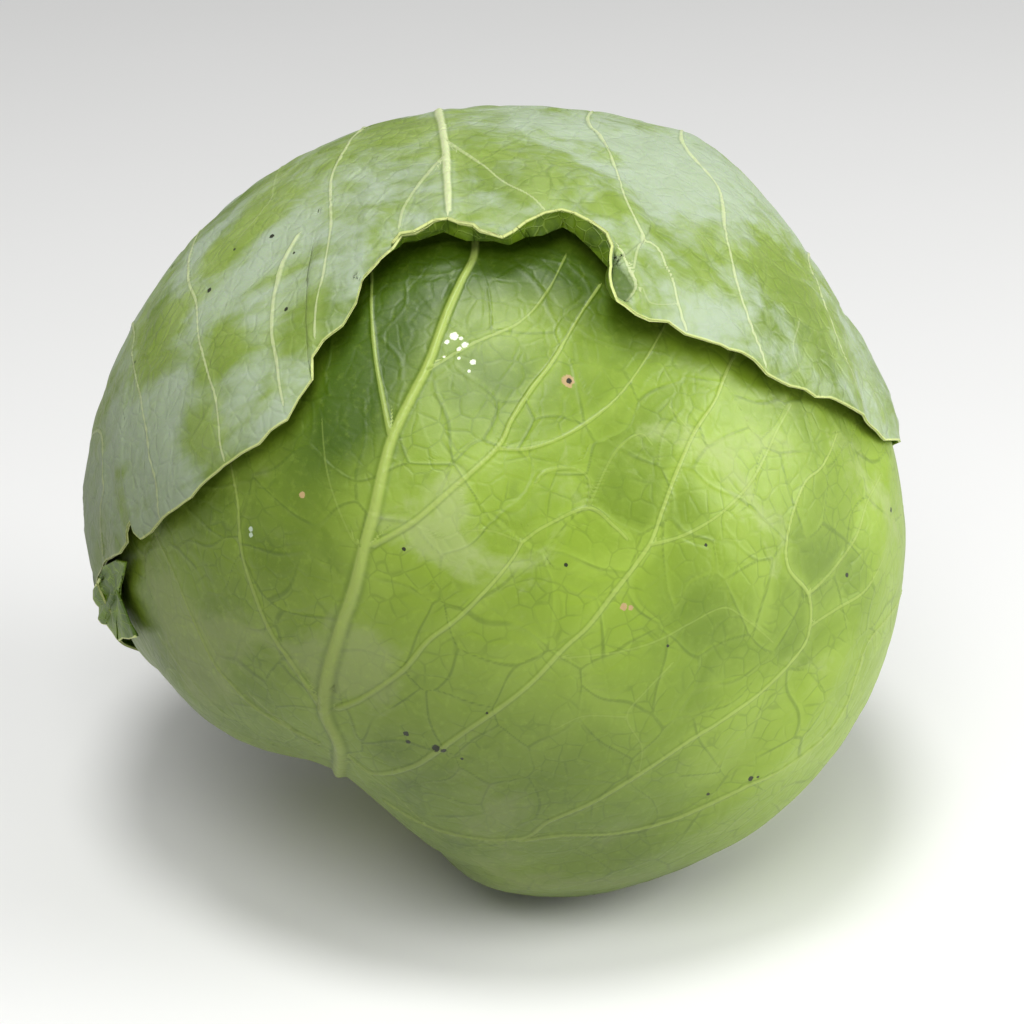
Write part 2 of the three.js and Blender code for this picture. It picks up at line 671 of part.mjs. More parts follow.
// The stem core tapers up into the head, and its cut end stands in the hollow beneath
function stemSolid(clearance) {
  const end = clearance > 0 ? HEAD_RADIUS : STEM_CUT;
  const profile = [
    [0, CORE_TIP - clearance],
    [CORE_TIP_RADIUS + clearance, CORE_TIP - clearance],
    [STEM_NECK_RADIUS + clearance, STEM_NECK],
    [STEM_RADIUS + clearance, STEM_SHOULDER],
    [STEM_RADIUS + clearance, end - STEM_BEVEL],
    [STEM_RADIUS - STEM_BEVEL + clearance, end],
    [0, end - STEM_DISH],
  ].map(([radius, along]) => new THREE.Vector2(radius, along));
  const lathe = new THREE.LatheGeometry(profile, STEM_SIDES);
  lathe.deleteAttribute("normal");
  lathe.deleteAttribute("uv");
  lathe.applyQuaternion(new THREE.Quaternion().setFromUnitVectors(LATHE_AXIS, STEM_AXIS));
  lathe.translate(...HEAD_CENTRE.toArray());
  return solid(...weldedFaces(lathe));
}

function named(name, made, colour, roughness) {
  const material = new THREE.MeshStandardMaterial({ color: colour, roughness, metalness: 0 });
  const piece = new THREE.Mesh(geometryOf(made), material);
  piece.name = name;
  return piece;
}

// Ring counts, rib sizes as [half width, height] at root and tip, and finishes of the leaves
const SIDE_RIBS = [[1.4, 0.8], [0.8, 0.5]];
const LEAVES = [
  {
    name: "leaf_right",
    leaf: rightLeaf,
    rings: 10,
    veins: RIGHT_VEINS,
    midrib: [[3.2, 0.8], [1, 0.5]],
    colour: 0x8fae5a,
    roughness: 0.45,
  },
  {
    name: "leaf_front",
    leaf: frontLeaf,
    rings: 11,
    veins: FRONT_VEINS,
    midrib: [[3.6, 2.2], [1.2, 0.6]],
    colour: 0x7d9e45,
    roughness: 0.4,
  },
  {
    name: "leaf_hood",
    leaf: hoodLeaf,
    rings: 12,
    veins: HOOD_VEINS,
    midrib: [[3.6, 0.8], [1, 0.7]],
    colour: 0x96ab80,
    roughness: 0.55,
  },
  {
    name: "leaf_back",
    leaf: backLeaf,
    rings: 8,
    veins: BACK_VEINS,
    midrib: [[3.6, 1.6], [1.2, 0.8]],
    colour: 0x7f9664,
    roughness: 0.55,
  },
];

const group = new THREE.Group();
group.add(named("stem", stemSolid(0), 0xd9d6a8, 0.7));
group.add(named("inner_head", innerHeadSolid(), 0xb9cc7a, 0.45));
for (const { name, leaf, rings, veins, midrib, colour, roughness } of LEAVES)
  group.add(named(name, ribbedLeaf(leaf, rings, veins, midrib, SIDE_RIBS), colour, roughness));

export default group;
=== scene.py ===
# Looks of the cabbage head: finely veined leaves, inner head and stem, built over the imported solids.
# Lengths are millimetres until a mesh is made. Every surface is a radius from the head's middle.
import math

import bpy
import mathutils
import numpy as np
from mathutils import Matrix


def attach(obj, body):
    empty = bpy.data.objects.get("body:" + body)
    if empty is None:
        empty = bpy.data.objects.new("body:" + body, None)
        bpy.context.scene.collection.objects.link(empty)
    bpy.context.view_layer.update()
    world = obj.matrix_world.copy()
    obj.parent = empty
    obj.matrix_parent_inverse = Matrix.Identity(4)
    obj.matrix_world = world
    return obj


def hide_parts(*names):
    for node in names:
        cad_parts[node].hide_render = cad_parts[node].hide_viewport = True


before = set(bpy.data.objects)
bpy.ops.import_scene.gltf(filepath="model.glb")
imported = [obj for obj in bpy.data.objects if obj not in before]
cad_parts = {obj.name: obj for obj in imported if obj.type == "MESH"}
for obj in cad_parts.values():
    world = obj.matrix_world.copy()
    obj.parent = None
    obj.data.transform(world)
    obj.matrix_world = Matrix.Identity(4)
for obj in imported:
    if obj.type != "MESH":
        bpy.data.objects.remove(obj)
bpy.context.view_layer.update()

MM = 0.001

# Form of the head, as in the part's own source
HEAD_RADIUS = 88.5
HEAD_CENTRE = np.array([0.31, -1.77, 84.5])
REST_HEIGHT = HEAD_CENTRE[2]
BLADE = 1.3
BASE_BLADE = 1.2
BASE_SPREAD = 13
RELIEF = 0.9
GAP = 0.45
COVER_FADE = 9
LIFT_FROM = 0.72
LIP_RUN = 2.4
HEAD_CLEARANCE = 2.4
STEM_RADIUS = 14
STEM_CUT = 62

# The photograph's view: pixels of its 1024 frame are turned into directions from the head's middle
VIEW_ELEVATION = 25
EYE_DISTANCE = 700
MM_PER_PIXEL = 0.236
CENTRE_PIXEL = np.array([497, 500])
FRAME_PIXELS = 1024
SENSOR = 36

ELEVATION = math.radians(VIEW_ELEVATION)
RIGHT = np.array([1, 0, 0])
UP = np.array([0, math.sin(ELEVATION), math.cos(ELEVATION)])
TOWARD = np.array([0, -math.cos(ELEVATION), math.sin(ELEVATION)])

# Broad swellings and hollows of the head: angle, toward, spread in degrees, share of the radius
SWELLINGS = [
    (325, 5, 40, 0.062), (165, 0, 24, 0.025), (188, 0, 15, 0.02), (60, 5, 12, 0.045),
    (96, 5, 18, -0.01), (240, -15, 20, -0.26), (243, 9, 17, -0.185), (238, 30, 14, -0.07),
    (219, 3, 11, -0.085), (203, 0, 7, 0.02), (16, -4, 14, -0.055), (30, 0, 9, -0.015),
    (258, 4, 10, -0.045),
]

# Spacing of the fine meshes
SPOKE_STEP = 0.6
RING_STEP = 0.7
EDGE_STEP = 0.3
BASE_REACH = 26
EDGE_BAND = 6
UNDER_STRIDE = 4
PATH_STEP = 0.5
RIM_THICKNESS = 0.55
RIM_TAPER = 5
EDGE_RUFFLE = 0.5
NET_RISE = 0.08
POCKET_DEPTH = 0.9

# The fold of the hood's margin beside the arch: where its spokes start and end to bend, and how far
HOOD_FOLD = [(600, 222), (618, 301)]
FOLD_BEND = math.radians(8.5)
FOLD_SPREAD = 12
BEND_ROUNDS = 30
SIGHT_ROUNDS = 12

# Rib sizes: half width and height at the root, then at the tip, in mm, and how pale the rib is
RIBS = {
    "midrib": (2.7, 1.5, 0.55, 0.35, 0.9),
    "low midrib": (3.0, 0.8, 0.75, 0.5, 1.0),
    "side": (0.75, 0.5, 0.34, 0.25, 0.7),
    "branch": (0.42, 0.24, 0.26, 0.15, 0.5),
    "fine": (0.3, 0.12, 0.22, 0.08, 0.25),
    "crease": (0.3, 0.25, 0.3, 0.2, 0.8),
}


def unit(vectors):
    return vectors / np.linalg.norm(vectors, axis=-1, keepdims=True)


def seen(angle, toward):
    """A direction by its angle round the photograph's middle and its lean toward the viewer."""
    angle, toward = math.radians(angle), math.radians(toward)
    flat = math.cos(toward)
    return flat * math.cos(angle) * RIGHT + flat * math.sin(angle) * UP + math.sin(toward) * TOWARD


STEM_AXIS = seen(240, -15)


def ease(x):
    t = np.clip(x, 0, 1)
    return t * t * (3 - 2 * t)


def bell(u, centre, spread):
    turn = np.degrees(np.arccos(np.clip(u @ centre, -1, 1)))
    return np.exp(-((turn / spread) ** 2))


def blade_at(u):
    return BLADE + BASE_BLADE * bell(u, STEM_AXIS, BASE_SPREAD)


def inner_head(u):
    """Radius of the inner head, flat beneath so that one leaf over it is level at the floor."""
    share = 1 + sum(s * bell(u, seen(a, t), spread) for a, t, spread, s in SWELLINGS)
    free = HEAD_RADIUS * share
    down = np.maximum(-u[..., 2], 1e-3)
    return np.where(u[..., 2] < 0, np.minimum(free, REST_HEIGHT / down - blade_at(u) - GAP), free)


def waves(points, length, seed, count=14):
    """A smooth field between about -1 and 1 that changes over the given length in mm."""
    rng = np.random.default_rng(seed)
    ways = unit(rng.normal(size=(count, 3))) * rng.uniform(0.7, 1.4, (count, 1))
    phases = rng.uniform(0, 2 * np.pi, count)
    return np.sin(points @ ways.T * (2 * np.pi / length) + phases).sum(-1) / math.sqrt(count)


class Leaf:
    """A leaf: its pole, its margin as rows from the pole, and the leaves that it lies over.

    Where the margin turns back under itself, the spokes from the pole bend round a fold."""

    def __init__(self, pole, below, rows, fold=None):
        self.axis = unit(pole)
        self.side = unit(np.cross(STEM_AXIS, self.axis))
        self.ahead = np.cross(self.axis, self.side)
        self.below = below
        self.fold = None
        self.azimuth = np.array([0.0])
        self.edge = {"reach": np.array([2.0]), "lift": np.zeros(1), "lip": np.zeros(1)}
        if fold:
            (turn, start), (_, end) = [self.polar(sighted(row, self.outer)[0]) for row in fold]
            self.fold = (turn, start, end)
        found = [self.row(*row) for row in rows]
        found.sort()
        self.azimuth = np.array([row[0] for row in found])
        names = ("reach", "lift", "lip", "radius")
        self.edge = {name: np.array([r[i + 1] for r in found]) for i, name in enumerate(names)}

    def row(self, where, lift, lip):
        """Azimuth, reach, lift, lip and margin radius of one row: a pixel, or a direction."""
        if len(where) == 3:
            return (*self.polar(where), lift, lip, 0)
        u, radius = sighted(where, lambda u: self.outer(u) + lift + lip)
        return (*self.polar(u), lift, lip, radius)

    def bend(self, azimuth, reach):
        """How far the spokes turn aside at the fold."""
        if not self.fold:
            return 0 * azimuth
        turn, start, end = self.fold
        beside = np.degrees((azimuth - turn + np.pi) % (2 * np.pi) - np.pi) / FOLD_SPREAD
        return FOLD_BEND * np.exp(-beside ** 2) * ease((reach - start) / (end - start))

    def polar(self, u):
        azimuth = np.arctan2(u @ self.ahead, u @ self.side)
        reach = np.arccos(np.clip(u @ self.axis, -1, 1))
        return azimuth + self.bend(azimuth, reach), reach

    def direction(self, azimuth, reach):
        spoke = azimuth
        for _ in range(BEND_ROUNDS):
            azimuth = spoke - self.bend(azimuth, reach)
        across = np.cos(azimuth)[..., None] * self.side + np.sin(azimuth)[..., None] * self.ahead
        return np.cos(reach)[..., None] * self.axis + np.sin(reach)[..., None] * across

    def edge_at(self, name, azimuth):
        return np.interp(azimuth, self.azimuth, self.edge[name], period=2 * np.pi)

    def cover(self, u):
        """1 over the leaf, fading to 0 outside its margin."""
        azimuth, reach = self.polar(u)
        past = reach - self.edge_at("reach", azimuth)
        return 1 - ease(past / math.radians(COVER_FADE))

    def rise(self, u):
        """How far the leaf stands off what it lies on, near a lifted margin."""
        azimuth, reach = self.polar(u)
        near = reach / self.edge_at("reach", azimuth)
        return self.edge_at("lift", azimuth) * ease((near - LIFT_FROM) / (1 - LIFT_FROM))

    def inner(self, u):
        over = sum((leaf.cover(u) for leaf in self.below), np.zeros(u.shape[:-1]))
        return inner_head(u) + GAP + over * (blade_at(u) + RELIEF + GAP)

    def outer(self, u):
        return self.inner(u) + blade_at(u)

    def top(self, u):
        return self.outer(u) + self.rise(u)


def sighted(pixel, radius_at):
    """Where the line of sight through a pixel meets a surface, or passes nearest to it."""
    eye = TOWARD * EYE_DISTANCE
    x, y = (np.array(pixel) - CENTRE_PIXEL) * MM_PER_PIXEL
    sight = unit(x * RIGHT - y * UP - eye)
    nearest = -eye @ sight
    miss = np.linalg.norm(eye + sight * nearest)
    radius = HEAD_RADIUS
    for _ in range(SIGHT_ROUNDS):
        half = math.sqrt(max(radius * radius - miss * miss, 0))
        u = unit(eye + sight * (nearest - half))
        radius = float(radius_at(u))
    return u, max(radius, miss)


# The hood's front margin in the photograph, from its lower left round to its right tip: x, y, rise
# off the leaf below and turned-out lip in mm
HOOD_EDGE = [
    (126, 640, 0, 0), (105, 623, 0, 0), (97, 605, 1, 0), (90, 598, 1, 0), (93, 584, 2, 0),
    (98, 570, 2, 0), (103, 561, 2, 0), (119, 554, 2, 0), (125, 543, 2, 0), (124, 533, 2.2, 0),
    (128, 522, 2.4, 0), (132, 533, 2.4, 0), (138, 540, 2.2, 0), (148, 533, 2, 0), (162, 518, 2, 0),
    (178, 507, 2, 0), (191, 498, 2, 0), (199, 487, 2, 0), (218, 468, 2.4, 0), (237, 454, 3, 0),
    (257, 444, 3, 0), (269, 431, 3, 0), (286, 420, 3, 0), (296, 398, 3, 0), (310, 378, 3, 0),
    (310, 356, 4, 0), (321, 340, 4, 0), (341, 324, 4, 0), (355, 302, 4, 0), (363, 276, 4, 0),
    (377, 260, 4, 1), (392, 245, 4, 2.6), (400, 231, 4, 3.6), (414, 229, 4, 4), (433, 218, 4, 4),
    (448, 216, 4, 4), (460, 221, 4, 4), (473, 223, 4, 4), (480, 229, 4, 3.6), (502, 235, 4, 3),
    (513, 229, 4, 3.4), (526, 219, 4, 4), (544, 210, 4, 4), (561, 207, 4, 4), (574, 210, 4, 4),
    (595, 220, 5, 4), (608, 230, 5, 4), (613, 244, 5, 3.5), (611, 266, 5, 3), (612, 286, 5, 3),
    (618, 300, 5, 2), (626, 305, 5, 2), (637, 314, 5, 1), (651, 320, 4, 1), (670, 321, 4, 0),
    (687, 333, 4, 0), (716, 343, 3, 0), (728, 350, 3, 0), (741, 353, 3, 0), (755, 360, 3, 0),
    (770, 373, 3, 0), (779, 377, 3, 0), (794, 385, 2.5, 0), (808, 389, 2, 0), (818, 396, 2, 0),
    (834, 397, 2, 0), (850, 408, 1.5, 0), (864, 416, 1, 0), (879, 431, 0.5, 0), (888, 440, 0, 0),
    (896, 440, 0, 0),
]

# Margins where they don't show: angle, toward, rise
HOOD_BACK = [
    (7, -18, 0), (1, -34, 1), (-8, -47, 1), (-26, -60, 2), (-48, -65, 1), (-70, -62, 0),
    (-88, -60, 0), (-103, -55, 0), (-114, -45, 0), (-120, -36, 0), (-126, -30, 0),
    (-133, -26, 0), (-141, -21, 0), (-147, -17, 0), (-153, -13, 1),
]
FRONT_MARGIN = [
    (90, 6, 0), (104, 8, 0), (118, 6, 0), (132, 6, 0), (146, 4, 0), (160, 0, 0), (174, -6, 0),
    (186, -10, 0), (197, -9, 0), (208, -16, 0), (218, -19, 0), (226, -17, 0), (228, -8, 0),
    (235, -2, 0), (241, 0, 0), (248, -4, 0), (255, -9, 0), (264, -6, 0), (274, 0, 0), (284, 1, 0),
    (295, 1, 0), (306, -4, 1), (317, -10, 1), (328, -17, 2), (340, -20, 1), (351, -23, 2),
    (1, -20, 1), (12, -14, 0), (24, -6, 0), (36, 2, 0), (50, 4, 0), (63, 8, 0), (77, 5, 0),
]
RIGHT_MARGIN = [
    (255, -11, 0), (262, 8, 0), (274, 18, 0), (286, 22, 0), (299, 25, 0), (312, 26, 0),
    (326, 28, 0), (340, 28, 0), (354, 24, 0), (8, 17, 0), (22, 6, 0), (33, -8, 0), (40, -24, 0),
    (42, -40, 0), (36, -54, 0), (12, -66, 0), (-38, -72, 0), (-84, -66, 0), (-102, -54, 0),
    (-109, -42, 0), (-111, -31, 0), (-108, -21, 0),
]
BACK_MARGIN = [
    (222, -27, 0), (211, -22, 1), (201, -17, 2), (192, -18, 2), (183, -15, 2), (176, -13, 2),
    (170.5, -9, 2), (165, -14, 2), (158, -22, 2), (150, -30, 3), (138, -40, 2), (128, -54, 3),
    (104, -66, 2), (48, -74, 3), (-12, -78, 2), (-62, -76, 3), (-90, -66, 2), (-104, -56, 1),
    (-115, -47, 0), (-122, -37, 0), (-128, -32, 0),
]


def hidden_rows(rows):
    return [(seen(angle, toward), lift, 0) for angle, toward, lift in rows]


def sighted_rows(rows):
    return [((x, y), lift, lip) for x, y, lift, lip in rows]


right_leaf = Leaf(seen(-32, -42), [], hidden_rows(RIGHT_MARGIN))
front_leaf = Leaf(seen(0, 88), [right_leaf], hidden_rows(FRONT_MARGIN))
hood_rows = sighted_rows(HOOD_EDGE) + hidden_rows(HOOD_BACK)
hood_leaf = Leaf(seen(96, -24), [right_leaf, front_leaf], hood_rows, HOOD_FOLD)
back_leaf = Leaf(seen(205, -56), [right_leaf, front_leaf, hood_leaf], hidden_rows(BACK_MARGIN))

BACK_ROOTS = {
    "high": seen(92, -42), "upper": seen(82, -62), "middle": seen(20, -80),
    "lower": seen(286, -76), "low": seen(252, -58),
}

# Veins by kind: pixels of the photograph, or directions where they don't show
FRONT_VEINS = [
    ("midrib", [seen(240, -12), seen(240, 2), (341, 760), (324, 706), (338, 638), (354, 590),
        (364, 549), (374, 513), (384, 467), (394, 434), (415, 391), (430, 360), (447, 313),
        (460, 284), (475, 250), seen(95, 45), seen(94, 25)]),
    ("side", [(374, 545), (412, 523), (453, 488), (496, 449), (512, 419), (530, 391), (553, 360),
        (580, 315), (600, 285)]),
    ("branch", [(496, 449), (530, 448), (568, 434), (606, 408), (629, 383), (648, 355),
        (666, 323)]),
    ("side", [(338, 708), (361, 699), (402, 671), (428, 641), (458, 618), (489, 587), (512, 559),
        (522, 542)]),
    ("fine", [(522, 542), (491, 531), (458, 531)]),
    ("branch", [(522, 542), (545, 526), (588, 508), (614, 526), (627, 539)]),
    ("fine", [(588, 508), (589, 480), (573, 468), (545, 472), (535, 485)]),
    ("fine", [(588, 508), (614, 454), (639, 434), (652, 444)]),
    ("side", [(350, 756), (372, 772), (411, 767), (438, 751), (464, 732), (505, 704), (535, 679),
        (564, 648), (588, 626), (616, 590), (649, 545), (663, 508), (677, 471), (694, 433),
        (715, 400), (726, 373), (745, 330)]),
    ("branch", [(649, 545), (684, 535), (722, 512), (753, 479), (776, 433), (791, 405)]),
    ("fine", [(560, 658), (619, 652), (657, 641), (689, 624), (722, 608), (743, 617), (773, 642)]),
    ("fine", [(672, 664), (646, 691), (627, 717), (642, 747), (639, 773)]),
    ("fine", [(627, 717), (585, 716), (555, 729)]),
    ("fine", [(670, 407), (688, 429)]),
    ("side", [(385, 800), (440, 830), (519, 838), (549, 821), (593, 802), (638, 775), (684, 744),
        (728, 716), (763, 690), (794, 658), (808, 635), (809, 596), (788, 567), (789, 528),
        (804, 484), (822, 466), (837, 433)]),
    ("branch", [(809, 594), (830, 573), (855, 540), (868, 502), (881, 476)]),
    ("branch", [(809, 627), (837, 609), (865, 591), (881, 563), (893, 520)]),
    ("side", [(519, 840), (564, 835), (622, 832), (669, 821), (705, 807), (754, 783), (802, 756),
        (827, 734), (846, 705), (857, 673), (873, 635), (904, 589)]),
    ("branch", [(341, 760), (359, 764), (373, 776), (397, 796), (444, 838)]),
    ("side", [(325, 712), (296, 669), (272, 634), (256, 597), (242, 551), (238, 503), (231, 463)]),
    ("side", [(318, 742), (262, 712), (231, 683), (215, 664), (194, 621), (175, 575), (154, 530)]),
    ("branch", [(328, 752), (288, 725), (247, 691)]),
    ("branch", [(226, 715), (194, 683), (159, 634)]),
    ("side", [(390, 434), (382, 393), (376, 360), (372, 315), (372, 271)]),
    ("fine", [(362, 547), (349, 533), (328, 476), (322, 420)]),
    ("branch", [(425, 372), (470, 345), (520, 322), (548, 290), (566, 255)]),
]
HOOD_VEINS = [
    ("low midrib", [seen(235, -32), seen(242, -44), BACK_ROOTS["low"], BACK_ROOTS["lower"],
        BACK_ROOTS["middle"], BACK_ROOTS["upper"], BACK_ROOTS["high"], seen(97, -20), (439, 111),
        (444, 136), (447, 178), (449, 212)]),
    ("side", [BACK_ROOTS["high"], seen(112, -20), (363, 125), (349, 144), (332, 178), (331, 229),
        (324, 271), (317, 304), (314, 335)]),
    ("side", [BACK_ROOTS["upper"], seen(122, -38), seen(138, -16), (200, 231), (189, 260),
        (189, 282), (197, 304), (200, 338), (209, 375), (217, 403), (222, 458)]),
    ("side", [BACK_ROOTS["middle"], seen(140, -50), seen(153, -20), (134, 327), (133, 355),
        (139, 389), (144, 417), (150, 459), (158, 492), (159, 517)]),
    ("side", [BACK_ROOTS["lower"], seen(190, -60), seen(182, -30), (97, 431), (104, 482),
        (101, 509), (99, 557)]),
    ("side", [BACK_ROOTS["high"], seen(76, -18), (588, 119), (601, 137), (614, 166), (625, 200),
        (642, 234), (656, 247), (669, 273), (678, 305), (687, 328)]),
    ("branch", [(642, 234), (636, 255), (632, 276)]),
    ("side", [BACK_ROOTS["upper"], seen(58, -38), (682, 132), (719, 190), (726, 237), (738, 286),
        (751, 322), (767, 364)]),
    ("side", [BACK_ROOTS["middle"], seen(36, -48), seen(38, -12), (808, 257), (818, 286),
        (830, 320), (840, 347), (862, 400)]),
    ("side", [(298, 237), (282, 265), (276, 288), (272, 330), (276, 358), (283, 403)]),
    ("fine", [(282, 164), (273, 187), (268, 203), (234, 246)]),
    ("branch", [(444, 156), (419, 184), (404, 206), (398, 226)]),
    ("branch", [(445, 140), (481, 164), (502, 181), (528, 195), (543, 208)]),
    ("fine", [(799, 320), (794, 344), (801, 368)]),
    ("crease", [(614, 243), (622, 256), (630, 272), (636, 286), (632, 296), (625, 303)]),
    ("fine", [(642, 290), (648, 302), (658, 305), (677, 304)]),
]
RIGHT_VEINS = [
    ("low midrib", [seen(256, -22), seen(272, -20), seen(298, -18), seen(330, -20), seen(0, -22),
        seen(17, -25)]),
    ("side", [seen(272, -20), seen(284, 0), seen(300, 12)]),
    ("side", [seen(304, -18), seen(322, 2), seen(336, 14)]),
    ("side", [seen(280, -20), seen(288, -42), seen(312, -62)]),
    ("side", [seen(318, -19), seen(336, -38), seen(10, -52)]),
]
BACK_VEINS = [
    ("midrib", [seen(236, -31), seen(218, -44), seen(196, -58), seen(150, -66), seen(112, -62)]),
    ("side", [seen(222, -41), seen(200, -36), seen(178, -20)]),
    ("side", [seen(200, -56), seen(172, -48), seen(156, -32)]),
    ("side", [seen(228, -38), seen(240, -60), seen(284, -72)]),
    ("side", [seen(196, -59), seen(210, -76), seen(350, -82)]),
]


def smooth_path(rows):
    """Directions along a smooth curve through rows, a fixed step apart on the head's sphere."""
    ends = np.vstack([2 * rows[0] - rows[1], rows, 2 * rows[-1] - rows[-2]])
    pieces = []
    for a, b, c, d in zip(ends, ends[1:], ends[2:], ends[3:]):
        count = max(2, int(np.linalg.norm(c - b) * HEAD_RADIUS / PATH_STEP))
        t = (np.arange(count) / count)[:, None]
        pieces.append(0.5 * (2 * b + (c - a) * t + (2 * a - 5 * b + 4 * c - d) * t ** 2
                             + (3 * b - a - 3 * c + d) * t ** 3))
    return unit(np.vstack([*pieces, ends[-2:-1]]))


def vein_fields(leaf, veins, u):
    """For directions u: rib height in mm, and distances to the nearest vein in its half widths,
    without a side and with one, and how pale that vein is."""
    height = np.zeros(len(u))
    far = np.full(len(u), 1e3)
    side = np.full(len(u), 1e3)
    pale = np.zeros(len(u))
    for kind, rows in veins:
        wide, tall, end_wide, end_tall, paleness = RIBS[kind]
        start = [row if len(row) == 3 else sighted(row, leaf.top)[0] for row in rows]
        path = smooth_path(np.array(start))
        along = np.gradient(path, axis=0)
        across = unit(np.cross(along, path))
        reach = np.linalg.norm(path - path.mean(0), axis=1).max() + 0.12
        close = np.flatnonzero(np.linalg.norm(u - path.mean(0), axis=1) < reach)
        if not len(close):
            continue
        near = np.argmax(u[close].astype(np.float32) @ path.T.astype(np.float32), axis=1)
        offset = (u[close] - path[near]) * HEAD_RADIUS
        ahead = np.einsum("ij,ij->i", offset, unit(along)[near])
        beyond = np.where((near == 0) | (near == len(path) - 1), np.abs(ahead), 0)
        sideways = np.einsum("ij,ij->i", offset, across[near])
        t = near / (len(path) - 1)
        half = wide + (end_wide - wide) * t
        distance = np.hypot(sideways, beyond) / half
        rise = (tall + (end_tall - tall) * t) * np.maximum(1 - distance ** 2, 0) ** 1.5
        height[close] = np.maximum(height[close], rise)
        better = distance < far[close]
        chosen = close[better]
        far[chosen] = distance[better]
        side[chosen] = (np.sign(sideways) * distance)[better]
        pale[chosen] = paleness
    return height, np.minimum(far, 50), np.clip(side, -50, 50), pale


NET_CELLS = 620
NET_JITTER = 0.055
NET_WARP = 1.3


def net_fields(u, seed):
    """Distance in mm to the nearest vein of a net over the sphere, and a number for each cell."""
    rng = np.random.default_rng(seed)
    k = np.arange(NET_CELLS) + 0.5
    z = 1 - 2 * k / NET_CELLS
    turn = k * np.pi * (3 - math.sqrt(5))
    flat = np.sqrt(1 - z * z)
    cells = np.stack([flat * np.cos(turn), flat * np.sin(turn), z], 1)
    cells = unit(cells + rng.normal(size=cells.shape) * NET_JITTER)
    tone = rng.uniform(-1, 1, NET_CELLS)
    points = u * HEAD_RADIUS
    warp = np.stack([waves(points, 17, seed + i) for i in (1, 2, 3)], 1) * NET_WARP
    warped = unit(points + warp).astype(np.float32)
    distance = np.empty(len(u))
    cell = np.empty(len(u), int)
    for start in range(0, len(u), 40000):
        part = warped[start:start + 40000]
        facing = part @ cells.T.astype(np.float32)
        first = np.argmax(facing, axis=1)
        rows = np.arange(len(part))
        best = facing[rows, first]
        facing[rows, first] = -2
        second = np.argmax(facing, axis=1)
        gap = np.linalg.norm(cells[first] - cells[second], axis=1)
        distance[start:start + 40000] = (best - facing[rows, second]) / gap * HEAD_RADIUS
        cell[start:start + 40000] = first
    return distance, tone[cell]


def normals_of(grid):
    """Unit normals of a grid of points, rings by spokes, closed round the spokes."""
    along = np.gradient(grid, axis=0)
    round_ = np.roll(grid, -1, axis=1) - np.roll(grid, 1, axis=1)
    normal = np.cross(round_, along)
    out = grid - HEAD_CENTRE
    return unit(normal) * np.sign(np.einsum("ijk,ijk->ij", normal, out))[..., None]


def ring_faces(rings, spokes, flipped):
    """Quads between rings of spokes, and triangles from the first ring to a pole vertex."""
    i = np.arange(rings - 1)[:, None] * spokes
    j = np.arange(spokes)[None, :]
    k = (j + 1) % spokes
    quads = np.stack([i + j, i + spokes + j, i + spokes + k, i + k], -1).reshape(-1, 4)
    fan = np.stack([np.full(spokes, rings * spokes), j[0], k[0]], -1)
    return (quads[:, ::-1], fan[:, ::-1]) if flipped else (quads, fan)


def mesh_object(name, points, face_sets, material, fields=None):
    """A smooth mesh object from points in mm, arrays of faces and values on its points."""
    corners = np.concatenate([faces.ravel() for faces in face_sets])
    sizes = np.concatenate([np.full(len(faces), faces.shape[1]) for faces in face_sets])
    mesh = bpy.data.meshes.new(name)
    mesh.vertices.add(len(points))
    mesh.vertices.foreach_set("co", (points * MM).astype(np.float32).ravel())
    mesh.loops.add(len(corners))
    mesh.loops.foreach_set("vertex_index", corners.astype(np.int32))
    mesh.polygons.add(len(sizes))
    mesh.polygons.foreach_set("loop_start", (np.cumsum(sizes) - sizes).astype(np.int32))
    mesh.polygons.foreach_set("use_smooth", np.ones(len(sizes), bool))
    mesh.update(calc_edges=True)
    mesh.validate()
    for key, values in (fields or {}).items():
        attribute = mesh.attributes.new(key, "FLOAT", "POINT")
        attribute.data.foreach_set("value", values.astype(np.float32))
    mesh.materials.append(material)
    made = bpy.data.objects.new(name, mesh)
    bpy.context.scene.collection.objects.link(made)
    return made


def spoke_azimuths(leaf, step):
    """Azimuths about a step apart along the margin, with one at each margin row."""
    ends = np.append(leaf.azimuth, leaf.azimuth[0] + 2 * np.pi)
    reaches = np.append(leaf.edge["reach"], leaf.edge["reach"][0])
    found = []
    for a, b, first, second in zip(ends, ends[1:], reaches, reaches[1:]):
        length = math.hypot((b - a) * math.sin(first), second - first) * HEAD_RADIUS
        count = max(1, round(length / step))
        found.append(a + (b - a) * np.arange(count) / count)
    return np.concatenate(found)


